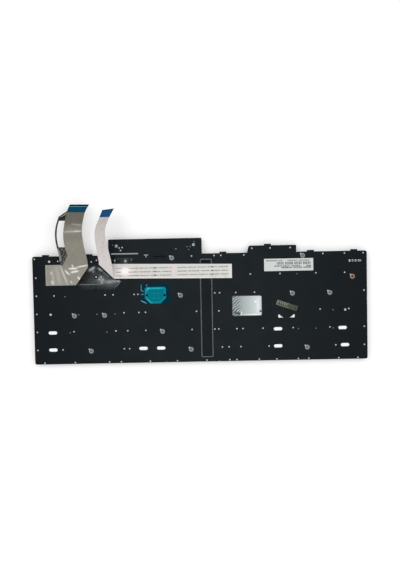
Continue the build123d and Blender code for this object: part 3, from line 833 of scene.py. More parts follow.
def read_off(at: np.ndarray, run: np.ndarray, line: np.ndarray) -> np.ndarray:
    """Places on a line, read off at given values of a run along it."""
    return np.stack([np.interp(at, run, column) for column in line.T], -1)


def smooth_step(value: np.ndarray, low: float, high: float) -> np.ndarray:
    """A soft step from 0 at low to 1 at high: three squares less two cubes."""
    share = np.clip((value - low) / (high - low), 0, 1)
    return share * share * (3 - 2 * share)


def rounded_grid(half: np.ndarray, radius: float, columns: int, rows: int) -> tuple[np.ndarray, np.ndarray, np.ndarray]:
    """A grid squeezed into a rectangle with round corners, where each column ends at the corners' arcs.

    Args:
        half: half the rectangle's width and height.
        radius: the corners' radius.
        columns: places along X.
        rows: places along Y.

    Returns:
        X and Y of the places, from the middle, and how far each lies inside the edge.
    """
    x, share = np.meshgrid(np.linspace(-half[0], half[0], columns), np.linspace(-1, 1, rows))
    past = np.maximum(np.abs(x) - (half[0] - radius), 0)
    reach = half[1] - radius + np.sqrt(np.maximum(radius**2 - past**2, 0))
    y = share * reach
    return x, y, np.minimum(half[0] - np.abs(x), reach - np.abs(y))


def spots(x: np.ndarray, y: np.ndarray, marks: Marks) -> np.ndarray:
    """Soft oval marks added up, each a bell curve across and a flatter one along.

    Args:
        x: places along X.
        y: places along Y.
        marks: X, Y, half length, half width, turn in degrees and strength of each mark.

    Returns:
        The sum at each place.
    """
    total = np.zeros(np.shape(x))
    for middle_x, middle_y, length, width, turn_deg, strength in marks:
        angle = np.radians(turn_deg)
        along = (x - middle_x) * np.cos(angle) + (y - middle_y) * np.sin(angle)
        across = (y - middle_y) * np.cos(angle) - (x - middle_x) * np.sin(angle)
        total += strength * np.exp(-((along / length) ** 4) - (across / width) ** 2)
    return total


def grid_places(places: list[Place]) -> np.ndarray:
    """Places on the back, given in key units from the middle and rows from the front margin."""
    return np.array(places) * [KEY_PITCH, ROW_PITCH] + [0.0, Y_FRONT + FRONT_MARGIN]


def on_back(steps: Sequence[Place], radius: float, places: np.ndarray, corners: int) -> Shape:
    """Round forms on the back plate, from steps that give a share of the radius and a height over the plate."""
    return Shape.turned([(radius * share, Z_BACK + rise) for share, rise in steps], places, corners)


def bars(rows: Sequence[Bar] | np.ndarray, low: float, rise: float) -> Shape:
    """Small flat bars along X.

    Args:
        rows: X and Y of the middle, length and width of each bar.
        low: height of their undersides.
        rise: their thickness.

    Returns:
        The joined bars.
    """
    each = np.array(rows)[:, None]
    square = np.array([(-0.5, -0.5), (0.5, -0.5), (0.5, 0.5), (-0.5, 0.5)])
    return Shape.prisms(level(each[..., :2] + square * each[..., 2:], low), rise)


def rounded_outline(half: np.ndarray, radius: float) -> np.ndarray:
    """A rectangle with round corners about the middle, with a quarter of a circle at each corner.

    Args:
        half: half the rectangle's width and height.
        radius: the corners' radius.

    Returns:
        Places of shape (corners, 2).
    """
    arcs = []
    for turn, signs in ((0, (1, 1)), (90, (-1, 1)), (180, (-1, -1)), (270, (1, -1))):
        angle = np.radians(np.linspace(turn, turn + 90, 6))
        arcs.append(radius * np.stack([np.cos(angle), np.sin(angle)], -1) + (half - radius) * signs)
    return np.concatenate(arcs)


def bands(places: np.ndarray, half: np.ndarray, radius: float, width: float, low: float, rise: float) -> Shape:
    """Flat bands that run inside rounded outlines.

    Args:
        places: the bands' middles, of shape (copies, 2).
        half: half the outline's width and height.
        radius: the outline's corner radius.
        width: the bands' width.
        low: height of their undersides.
        rise: their thickness.

    Returns:
        The joined bands.
    """
    outer, inner = rounded_outline(half, radius), rounded_outline(half - width, radius - width)
    flat = np.stack([outer, np.roll(outer, -1, 0), np.roll(inner, -1, 0), inner], 1)
    return Shape.prisms(level((places[:, None, None] + flat).reshape(-1, 4, 2), low), rise)


def dashes(seed: int, left: float, right: float, y: float, height: float, longest: float) -> np.ndarray:
    """A line of greeked print: dashes of uneven length with even gaps, and a wider one after every eighth.

    Args:
        seed: the seed of the uneven lengths.
        left: where the line starts.
        right: where it ends.
        y: the line's middle.
        height: the dashes' height.
        longest: the longest dash.

    Returns:
        Rows for bars.
    """
    count = int((right - left) / (DASH_SHARE * longest))
    lengths = np.random.default_rng(seed).uniform(SHORTEST_DASH, 1.0, count) * longest
    gaps = np.where(np.arange(count) % WORD == WORD - 1, WORD_GAP, DASH_GAP)
    starts = left + np.concatenate([[0.0], np.cumsum(lengths + gaps)[:-1]])
    rows = np.stack([starts + lengths / 2, np.full(count, y), lengths, np.full(count, height)], -1)
    return rows[starts + lengths < right]


PLATE_PAINT = PlatePaint(
    "plate_paint_black", (24, 29, 32), (34, 39, 42), 3200.0, (0.5, 0.68), shine=0.04, side=(19, 24, 28)
)
FRAME_PLASTIC = Finish("frame_plastic_black", (20, 21, 22), (30, 31, 32), 4200.0, (0.55, 0.7), shine=0.2)
KEY_PLASTIC = Finish("key_plastic_black", (24, 25, 26), (36, 37, 38), 5200.0, (0.5, 0.66), shine=0.25)
LEGEND_INK = Finish("legend_ink_white", (214, 216, 216), (232, 233, 232), 3000.0)
MEMBRANE = Finish("membrane_clear_grey", (150, 155, 150), (178, 182, 176), 900.0, (0.25, 0.4))
WHITE_SHEET = Finish("light_guide_white", (252, 252, 252), (255, 255, 255), 900.0, (0.6, 0.7))
DOME_RUBBER = Finish("dome_rubber_milky", (200, 200, 195), (226, 226, 220), 1500.0, (0.45, 0.6))
STAKE_STEEL = Finish("stake_steel", (158, 162, 163), (206, 209, 209), 2600.0, (0.3, 0.5), 0.2)
FAINT_STAKE = Finish("painted_stake", (96, 101, 103), (134, 138, 139), 2600.0, (0.4, 0.6), 0.1)
INSERT_STEEL = TintedFinish(
    "insert_steel_dull",
    light=(150, 154, 156),
    grain=1500.0,
    rough=(0.35, 0.55),
    stops=((0.0, (26, 30, 32)), (0.5, (138, 142, 144)), (1.0, (196, 201, 201))),
)
INSERT_BRASS = TintedFinish(
    "insert_brass_dull",
    light=(168, 142, 118),
    grain=1500.0,
    rough=(0.35, 0.55),
    stops=((0.0, (24, 14, 8)), (0.5, (156, 130, 110)), (1.0, (194, 188, 180))),
)
BOARD = Finish("sensor_board_green", (22, 66, 44), (34, 88, 60), 1400.0, (0.3, 0.45))
STICK_RUBBER = Finish("stick_rubber_grey", (62, 62, 64), (82, 82, 84), 3600.0, (0.75, 0.9), bump=0.4)
LABEL_PAPER = Finish("label_paper_pale", (200, 204, 203), (216, 220, 219), 1200.0, (0.4, 0.55))
LABEL_INK = Finish("label_ink_grey", (70, 74, 75), (104, 108, 108))
WHITE_INK = Finish("white_print", (212, 215, 216), (238, 240, 240))
RIBBON_INK = Finish("ribbon_print_grey", (104, 107, 105), (136, 138, 135))
BLACK_FILM = Finish("spine_film_black", (20, 25, 28), (30, 35, 38), 2800.0, (0.4, 0.55), shine=0.04)
LINE_GREY = Finish("spine_line_grey", (112, 117, 119), (150, 154, 155), 2400.0, (0.4, 0.55))
DARK_BAR = Finish("dark_bar", (6, 8, 9), (12, 14, 15), 2400.0, shine=0.05)
CONTACT_TIN = Finish("contact_tin", (176, 168, 140), (214, 208, 186), 2600.0, (0.25, 0.4), 0.8)
LIP_STEEL = Finish("slit_lip_grey", (138, 142, 143), (186, 190, 190), 1800.0, (0.35, 0.5), 0.1)
SIDE_FILM = TintedFinish(
    "side_strip_black",
    light=(120, 120, 118),
    grain=900.0,
    rough=(0.3, 0.45),
    shine=0.05,
    stops=((0.0, (18, 20, 20)), (0.35, (66, 67, 66)), (0.7, (134, 132, 124)), (1.0, (196, 195, 188))),
    fleck_share=0.2,
)
STICKER = TintedFinish(
    "sticker_olive",
    light=(120, 124, 112),
    grain=1400.0,
    rough=(0.35, 0.5),
    shine=0.04,
    stops=((0.0, (20, 23, 18)), (0.35, (72, 78, 58)), (0.6, (94, 99, 90)), (1.0, (176, 179, 170))),
)
TAPE = ClearFilm(
    "tape_clear",
    light=(150, 154, 155),
    grain=300.0,
    rough=(0.3, 0.45),
    shine=0.04,
    bump=0.05,
    # Above the dark first stop, the stops colour the tape's painted glints
    stops=((0.0, (8, 13, 15)), (0.25, (94, 100, 102)), (0.5, (164, 169, 170)), (1.0, (250, 251, 251))),
    fleck_share=0.06,
)
# Its darkest stop colours the painted shade at the plate's rolled edge
MODULE_STEEL = TintedFinish(
    "module_steel_bright",
    light=(216, 222, 222),
    grain=1600.0,
    rough=(0.35, 0.55),
    metal=0.15,
    stops=(
        (0.0, (14, 17, 19)), (0.3, (84, 100, 110)), (0.7, (178, 187, 186)), (0.88, (220, 226, 225)),
        (1.0, (252, 253, 252)),
    ),
)
# Its brightest stops colour the painted highlights along the emboss
TEAL_FILM = TintedFinish(
    "cover_film_teal",
    light=(10, 134, 150),
    grain=1500.0,
    rough=(0.25, 0.4),
    shine=0.03,
    stops=(
        (0.0, (186, 200, 204)), (0.2, (84, 112, 124)), (0.34, (2, 36, 54)), (0.6, (2, 114, 130)),
        (0.75, (8, 142, 158)), (0.9, (52, 198, 214)), (1.0, (140, 228, 236)),
    ),
    fleck_share=0.06,
)
WHITE_FILM = RibbonFilm(
    "ribbon_white",
    (150, 148, 144),
    (230, 216, 214),
    1500.0,
    (0.4, 0.55),
    shine=0.15,
    # The darker stops towards the tip are painted shade on the tail
    stops=(
        (0.0, (217, 217, 212)), (0.26, (217, 217, 212)), (0.3, (224, 214, 213)), (0.34, (217, 216, 211)),
        (0.6, (218, 212, 209)), (0.72, (221, 214, 212)), (0.86, (207, 201, 199)), (0.96, (190, 185, 182)),
    ),
    glint_colour=(252, 251, 249),
    lines=12.0,
    line_share=0.06,
    smudge_share=0.3,
)
GREY_FILM = RibbonFilm(
    "ribbon_grey",
    (66, 64, 57),
    (172, 169, 159),
    900.0,
    (0.3, 0.45),
    shine=0.12,
    # The darkening from the laid part up the tail to the tip is painted shade
    stops=(
        (0.0, (153, 150, 140)), (0.36, (151, 148, 138)), (0.46, (138, 134, 125)), (0.64, (140, 136, 124)),
        (0.82, (106, 103, 93)), (1.0, (98, 96, 88)),
    ),
    glint_colour=(240, 239, 232),
    lines=30.0,
    line_share=0.08,
    smudge_share=0.15,
)
TEAL_TIP = BandedTip(
    "stiffener_teal",
    light=(26, 92, 120),
    grain=900.0,
    rough=(0.3, 0.4),
    shine=0.04,
    stops=((0.0, (3, 65, 93)), (0.7, (104, 162, 174)), (0.765, (4, 22, 30))),
    side=(4, 22, 40),
)
BLUE_TIP = BandedTip(
    "stiffener_blue",
    light=(40, 98, 140),
    grain=900.0,
    rough=(0.3, 0.4),
    shine=0.04,
    stops=((0.0, (5, 72, 120)), (0.55, (4, 68, 114)), (0.9, (4, 46, 78))),
    side=(4, 48, 84),
)


@dataclass
class RibbonCable:
    """A flat ribbon that lies on the back, folds over along a fold line and ends in a free tail with a stiff tip."""

    name: str
    node: str
    left: list[Point]
    right: list[Point]
    width: float
    length: float
    finish: Finish
    slot: Slot
    tip: Finish
    contacts: int
    laid_length: float
    # Marks of painted glints, sheen and shade, and specks, on the laid part and on the tail
    laid_glints_and_lines: Marks
    tail_glints_and_specks: Marks
    crumple: float = 0.0
    thickness: float = RIBBON_T
    tip_thickness: float = 0.2
    tip_reach: float = 9.2
    contact_reach: float = 4.0
    contact_span: Place = (0.04, 0.94)
    contact_share: float = 0.45
    across: int = 37
    grid: np.ndarray = field(init=False)
    run: np.ndarray = field(init=False)

    def __post_init__(self) -> None:
        """Spans the ribbon between the splines of its two edges, as a grid of places along and across."""
        self.grid = between(nurbs_line(self.left), nurbs_line(self.right), self.across)
        self.grid[..., 2] += self.thickness
        self.run = run_along(self.grid[:, self.across // 2])
        self.grid[..., 2] += self.ripple()

    def ripple(self) -> np.ndarray:
        """Creases in the laid part: two slanting sine waves multiplied and squared, so that only ridges rise.

        Returns:
            The rise of each place of the grid.
        """
        x, y = self.grid[..., 0], self.grid[..., 1]
        waves = np.sin(0.55 * x + 0.31 * y) * np.sin(0.23 * x - 0.47 * y)
        inside = np.sin(np.pi * np.linspace(0, 1, self.across))
        share = self.run[:, None] / self.laid_length
        near = smooth_step(share, 0.1, 0.6) * (1 - smooth_step(share, 0.75, 0.95))
        return self.crumple * waves**2 * near * inside

    def tint(self) -> np.ndarray:
        """Painted glints and sheen of the laid part up to the fold, and of the tail after it, with painted shade and
        specks where a mark is negative.

        Returns:
            The tint of each place of the grid.
        """
        x, y = self.grid[..., 0], self.grid[..., 1] - Y_BACK
        laid = (self.run <= self.laid_length)[:, None]
        return 0.5 + 0.5 * np.where(laid, spots(x, y, self.laid_glints_and_lines), spots(x, y, self.tail_glints_and_specks))

    def tip_grid(self, reach: float) -> np.ndarray:
        """The rows of the ribbon within a length of its tip."""
        return self.grid[self.run >= self.run[-1] - reach]

    def contact_pads(self) -> Shape:
        """Tinned pads side by side under the tip, about as wide as the gaps between them.

        Returns:
            The joined pads.
        """
        ends = self.tip_grid(self.contact_reach)[[0, -1]] - [0.0, 0.0, self.thickness + SEAT]
        start = np.linspace(*self.contact_span, self.contacts)
        sides = (start, start + self.contact_share / self.contacts)
        run = np.linspace(0, 1, self.across)
        corners = [read_off(sides[side], run, ends[end]) for end, side in ((0, 0), (0, 1), (1, 1), (1, 0))]
        return Shape.prisms(np.stack(corners, 1), SEAT)

    def build(self, more: tuple[Piece, ...] = ()) -> None:
        """Args:
            more: other pieces that go with the ribbon; not used.
        """
        ribbon = Shape.sheet(self.grid, self.thickness, self.tint()).put(self.name, self.finish, self.slot, self.node)
        lifted = self.tip_grid(self.tip_reach) + [0.0, 0.0, self.tip_thickness + SEAT]
        stiff = Shape.sheet(lifted, self.tip_thickness)
        tip = stiff.put(f"{self.name}_tip", self.tip, Slot.STIFFENER, f"{self.node}_stiffener")
        pads = self.contact_pads().put(f"{self.name}_contacts", CONTACT_TIN, Slot.STEEL)
        LOG.info("%s: %.1f mm along its middle", self.name, self.run[-1])


@dataclass
class SideStrip:
    """The narrow black strip beside the wide ribbon's tail, with a patch below and a gusset above."""

    outer: list[Point]
    tail_edge: list[Point]
    width: float = 1.8
    thickness: float = RIBBON_T
    patch: Place = (-9.6, 9.4)
    gusset: Place = (36.4, 46.4)
    dull: float = 0.12

    def web(self, lines: list[np.ndarray], span: Place) -> np.ndarray:
        """A grid between two lines, over a span of Y from the back edge."""
        heights = np.linspace(*span, 40) + Y_BACK
        return between(*(read_off(heights, line[:, 1], line) for line in lines), 17)

    def build(self) -> Piece:
        """Builds the strip, the patch and the gusset as one piece, each a sheet between two lines.

        The strip is pale at its low end, the patch is mottled by crossing sine waves, and a pale bell-shaped stripe
        climbs over the gusset.

        Returns:
            The piece.
        """
        lines = [nurbs_line(self.outer), nurbs_line(self.tail_edge)]
        strip = between(lines[0], lines[0] + [self.width, 0.0, 0.0], 5)
        patch, gusset = self.web(lines, self.patch), self.web(lines, self.gusset)
        low_end = self.dull + 0.62 * (1 - smooth_step(strip[..., 1] - Y_BACK, 6.0, 10.0))
        x, y = patch[..., 0], patch[..., 1]
        waves = np.sin(1.6 * x + 0.5 * y) * np.sin(1.5 * y - 0.4 * x)
        waves += 0.7 * np.sin(2.6 * x - 1.2 * y) * np.sin(0.7 * y + x)
        mottle = self.dull + 0.6 * np.clip(waves, 0, 1)
        rise, share = (np.linspace(0, 1, count) for count in gusset.shape[:2])
        stripe = 0.95 * np.exp(-(((rise[:, None] - 0.32 - 0.45 * share) / 0.08) ** 2))
        pairs = ((strip, low_end), (patch, mottle), (gusset, stripe))
        sheets = [Shape.sheet(grid + [0.0, 0.0, self.thickness], self.thickness, tint) for grid, tint in pairs]
        return Shape.join(sheets).put("ribbon_side_film", SIDE_FILM, Slot.BLACK_RIBBON, "ribbon_side_strip")


@dataclass
class PlateFittings:
    """The rivet heads and the clinched inserts on the back plate."""

    stake_rows: list[tuple[float, tuple[float, ...]]]
    stakes: list[Place]
    large_stakes: list[Place]
    faint_stakes: list[Place]
    insert_places: list[Place]
    brass_place: Place
    stake_r: float = 0.78
    large_r: float = 1.2
    faint_r: float = 0.6
    insert_r: float = 2.45
    lug_r: float = 0.85
    lug_shift: float = 1.95
    lug_tint: float = 0.85

    def stake(self, places: list[Place], radius: float) -> Shape:
        """Low domed rivet heads: a short wall, then a crown."""
        return on_back(STAKE_STEPS, radius, np.array(places), 14)

    def insert(self, places: np.ndarray, shade: float, hole: float) -> Shape:
        """Clinched inserts: a barrel in the plate, a ringed flange and a blind screw hole, with painted shade on its
        wall.

        Args:
            places: the inserts' middles, of shape (copies, 2).
            shade: how much the hole's wall darkens.
            hole: tint of the hole's floor; at 0 it is painted shade.

        Returns:
            The inserts with their lugs.
        """
        flange = on_back(INSERT_STEPS, self.insert_r, places, 24)
        away = flange.points.reshape(len(places), -1, 3)[..., :2] - places[:, None]
        share = np.linalg.norm(away, axis=-1) / self.insert_r
        turn = np.arctan2(away[..., 1], away[..., 0])
        # Painted shade on the hole's wall, stronger at four places round it
        wall = np.exp(-(((share - 0.42) / 0.1) ** 2)) * (0.7 + 0.3 * np.cos(4 * turn))
        flange.tint = (np.where(share < 0.2, hole, 0.5) - shade * wall).ravel()
        lug = on_back(LUG_STEPS, self.lug_r, places + [-self.lug_shift, self.lug_shift], 14)
        lug.tint = np.full(len(lug.points), self.lug_tint)
        return Shape.join([flange, lug])

    def build(self) -> None:
        """Builds the stakes, and the inserts with their lugs."""
        rows = [(x, y) for y, xs in self.stake_rows for x in xs]
        small, large = self.stake(rows + self.stakes, self.stake_r), self.stake(self.large_stakes, self.large_r)
        Shape.join([small, large]).put("stake_rivets", STAKE_STEEL, Slot.STEEL)
        self.stake(self.faint_stakes, self.faint_r).put("painted_stakes", FAINT_STAKE, Slot.PLATE)
        whole = self.insert(grid_places(self.insert_places), shade=0.5, hole=0.6)
        whole.put("ringed_inserts", INSERT_STEEL, Slot.STEEL, "screw_inserts")
        # The brass insert's hole is painted dark to its floor as painted shade
        whole = self.insert(grid_places([self.brass_place]), shade=1.3, hole=0.0)
        whole.put("ringed_brass_insert", INSERT_BRASS, Slot.BRASS, "brass_insert")


@dataclass
class StampedMarks:
    """The slit's folded lip, the small stamped and printed marks near the back edge, white rings of painted light round
    the tab's holes and a dark bar of painted shade where the edge is recessed.
    """

    lip: Bar = (-78.0, 49.5, 28.4, 0.75)
    lip_sunk: float = 0.12
    lance: tuple[Bar, ...] = ((-55.6, 48.1, 4.4, 0.8), (-55.6, 46.7, 0.8, 2.2))
    crescent: Place = (-24.2, 54.6)
    crescent_r: Place = (0.6, 1.15)
    crescent_turn: Place = (185, 330)
    # A dark bar of painted shade, laid on the plate where its edge is recessed
    recess_shade: Bar = (-41.6, 46.3, 13.0, 1.3)
    recess_shade_t: float = 0.04
    code: Point = (156.9, 167.8, 38.2)
    code_r: Place = (0.4, 1.15)
    code_turns: tuple[Place, ...] = (
        (20, 340), (-50, 50), (0, 360), (130, 230), (0, 360), (-50, 50), (0, 360), (200, 520),
    )
    taped_stake: Place = (-108.3, 26.1)
    taped_ring_r: float = 2.1
    taped_stake_r: float = 0.75
    flank: tuple[Place, ...] = ((53.3, 0.0), (53.3, 7.25), (52.4, 7.1), (51.5, 6.5), (49.9, 0.0))
    flank_sunk: float = 0.01
    # White rings of painted light round the tab's two holes, standing for the bright white seen through them
    painted_light_rings: tuple[Place, ...] = ((-86.45, 58.0), (-5.75, 58.0))
    painted_light_ring_r: Place = (0.45, 1.55)

    def arc(self, place: Place, radii: Place, turn: Place, steps: int) -> Shape:
        """A flat raised band along an arc: prisms between an inner and an outer radius.

        Args:
            place: the arc's middle.
            radii: the inner and the outer radius.
            turn: where it starts and ends, in degrees.
            steps: places along it.

        Returns:
            The joined prisms.
        """
        angle = np.radians(np.linspace(*turn, steps))
        ring = np.stack([np.cos(angle), np.sin(angle)], -1)
        inner, outer = ring * radii[0], ring * radii[1]
        flat = np.stack([outer[:-1], outer[1:], inner[1:], inner[:-1]], 1) + place
        return Shape.prisms(level(flat, Z_BACK - MARK_SUNK), MARK_T)

    def build(self) -> None:
        """Builds the lip, the flank, the lance, the crescent, the taped stake, the painted light rings, the painted
        shade of the recessed edge and the code.
        """
        plate_t = Z_BACK - Z_PLATE
        bars([self.lip], Z_PLATE, plate_t - self.lip_sunk).put("slit_lip", LIP_STEEL, Slot.STEEL)
        flank = level(np.array([self.flank]) + [0.0, Y_BACK], Z_PLATE)
        Shape.prisms(flank, plate_t - self.flank_sunk).put("tab_flank", PLATE_PAINT, Slot.PLATE)
        bars(self.lance, Z_BACK - MARK_SUNK, MARK_T).put("lance_mark", LIP_STEEL, Slot.PLATE)
        self.arc(self.crescent, self.crescent_r, self.crescent_turn, 12).put("crescent_mark", STAKE_STEEL, Slot.STEEL)
        place = np.array([self.taped_stake])
        on_back(TAPED_RING_STEPS, self.taped_ring_r, place, 20).put("taped_stake_ring", DARK_BAR, Slot.PLATE)
        on_back(TAPED_STAKE_STEPS, self.taped_stake_r, place, 14).put("taped_stake", LEGEND_INK, Slot.STEEL)
        # Painted light: white rings round the tab's holes
        rings = [self.arc(place, self.painted_light_ring_r, (0, 360), 25) for place in self.painted_light_rings]
        Shape.join(rings).put("tab_painted_light_rings", LEGEND_INK, Slot.STEEL)
        # The dark bar of painted shade at the recessed edge
        bars([self.recess_shade], Z_BACK - MARK_SUNK, self.recess_shade_t).put("edge_recess_shade", DARK_BAR, Slot.PLATE)
        left, right, y = self.code
        middles = np.linspace(left, right, len(self.code_turns))
        glyphs = [self.arc((x, y), self.code_r, turn, 9) for x, turn in zip(middles, self.code_turns)]
        Shape.join(glyphs).put("code_marks", WHITE_INK, Slot.LABEL)


@dataclass
class SlotLips:
    """Painted lips that stand inside the plate's oval slots and along the winged slot's sides and ends."""

    oval_places: list[Place]
    wing_place: Place
    oval: Place = (9.9, 4.4)
    wing: Place = (18.4, 4.3)
    lip: float = 0.4
    wing_lips: Place = (0.3, 0.6)
    end_lip: float = 0.6
    sunk: float = 0.05
    bite: float = 0.2

    def build(self) -> None:
        """Builds a band inside each oval and bars round the winged slot, with their outsides in the plate."""
        rise = Z_BACK - Z_PLATE - self.sunk
        half = np.array(self.oval) / 2 + self.bite
        ovals = bands(grid_places(self.oval_places), half, half[1], self.lip + self.bite, Z_PLATE, rise)
        x, y = grid_places([self.wing_place])[0]
        wide, tall = self.wing
        rows = []
        for sign, lip in zip((-1, 1), self.wing_lips):
            rows.append((x, y + sign * (tall + self.bite - lip) / 2, wide + 2 * self.bite, lip + self.bite))
        for sign in (-1, 1):
            rows.append((x + sign * (wide + self.bite - self.end_lip) / 2, y, self.end_lip + self.bite, tall))
        Shape.join([ovals, bars(rows, Z_PLATE, rise)]).put("slot_lips", PLATE_PAINT, Slot.PLATE)


@dataclass
class Stickers:
    """The pale label and the small tilted sticker, with lines of marks in place of words."""

    # Height and ends of each line as shares of the label, then the dashes' height and longest dash
    lines: tuple[tuple[float, ...], ...] = (
        (0.84, 0.04, 0.38, 1.1, 1.5), (0.84, 0.48, 0.96, 1.1, 1.5), (0.62, 0.26, 0.96, 2.9, 0.9),
        (0.4, 0.21, 0.36, 1.2, 1.6), (0.4, 0.38, 0.53, 1.2, 1.6), (0.4, 0.56, 0.76, 1.2, 1.6),
        (0.4, 0.86, 0.96, 1.2, 1.6), (0.27, 0.35, 0.96, 1.5, 1.4),
    )
    place: Place = (90.8, -7.4)
    turn_deg: float = -19.0
    half: Place = (11.2, 2.5)
    corner_r: float = 0.3
    thickness: float = 0.08
    marks: Marks = (
        (9.6, -0.6, 0.7, 0.6, 0, -0.45), (-9.7, 0.3, 0.6, 1.0, 0, 0.35), (-8.3, -0.6, 0.6, 0.9, 0, -0.45),
        (-7.2, 0.6, 0.5, 0.8, 0, 0.45), (-6.1, -0.3, 0.6, 0.9, 0, -0.5), (-5.0, 0.4, 0.5, 0.9, 0, 0.45),
        (-3.8, -0.5, 0.6, 0.8, 0, -0.45), (-2.5, 0.5, 0.6, 0.9, 0, 0.45), (-1.3, -0.4, 0.6, 0.8, 0, -0.4),
        (-0.2, 0.2, 0.5, 1.0, 0, 0.35), (1.0, -0.3, 0.5, 0.8, 0, -0.3), (4.0, 0.4, 1.2, 0.5, 0, 0.15),
        (6.6, -0.5, 1.0, 0.6, 0, 0.12),
    )

    def label(self) -> None:
        """Prints the label's lines of dashes."""
        low, high = box_mm("rating_label")
        wide, tall = (high - low)[:2]
        rows = [
            dashes(seed, low[0] + start * wide, low[0] + end * wide, low[1] + share * tall, height, longest)
            for seed, (share, start, end, height, longest) in enumerate(self.lines, 1)
        ]
        bars(np.concatenate(rows), high[2] - PRINT_SUNK, PRINT_T).put("label_lines", LABEL_INK, Slot.LABEL)

    def sticker(self) -> None:
        """Lays the tilted sticker: grey to olive along it, pale at its long edges, with soft marks."""
        x, y, inside = rounded_grid(np.array(self.half), self.corner_r, 110, 28)
        tint = 0.5 - 0.19 * smooth_step(x, 0.0, 3.5) + spots(x, y, self.marks)
        tint += 0.3 * (1 - smooth_step(inside, 0.2, 0.6))
        cos, sin = np.cos(np.radians(self.turn_deg)), np.sin(np.radians(self.turn_deg))
        flat = np.stack([x * cos - y * sin, x * sin + y * cos], -1) + self.place
        whole = Shape.sheet(level(flat, box_mm("date_sticker")[1][2]), self.thickness, tint)
        whole.put("tilted_sticker", STICKER, Slot.STICKER, "date_sticker")

    def build(self) -> None:
        """Builds the label's print and the sticker."""
        self.label()
        self.sticker()


@dataclass
class RibbonPrint:
    """Three rows of small grey dashes along the white ribbon, with darker blocks at two places."""

    rows: tuple[float, ...] = (-14.0, -17.9, -21.7)
    runs: tuple[Place, ...] = ((-87.0, -81.5), (-74.0, -29.0), (-23.0, 30.8))
    blocks: tuple[float, ...] = (-46.5, 13.1)
    block: Place = (2.0, 1.2)
    dash_height: float = 1.05
    longest_dash: float = 1.3
    first_seed: int = 20

    def build(self) -> None:
        """Prints the rows, run by run, and the blocks over them."""
        top = Z_RIBBON + RIBBON_T
        rows = [
            dashes(seed, *run, Y_BACK + row, self.dash_height, self.longest_dash)
            for seed, row in enumerate(self.rows, self.first_seed)
            for run in self.runs
        ]
        bars(np.concatenate(rows), top - PRINT_SUNK, PRINT_T).put("ribbon_print", RIBBON_INK, Slot.WHITE_RIBBON)
        blocks = [(x, Y_BACK + row, *self.block) for row in self.rows for x in self.blocks]
        bars(blocks, top, PRINT_T).put("ribbon_print_blocks", LABEL_INK, Slot.WHITE_RIBBON)


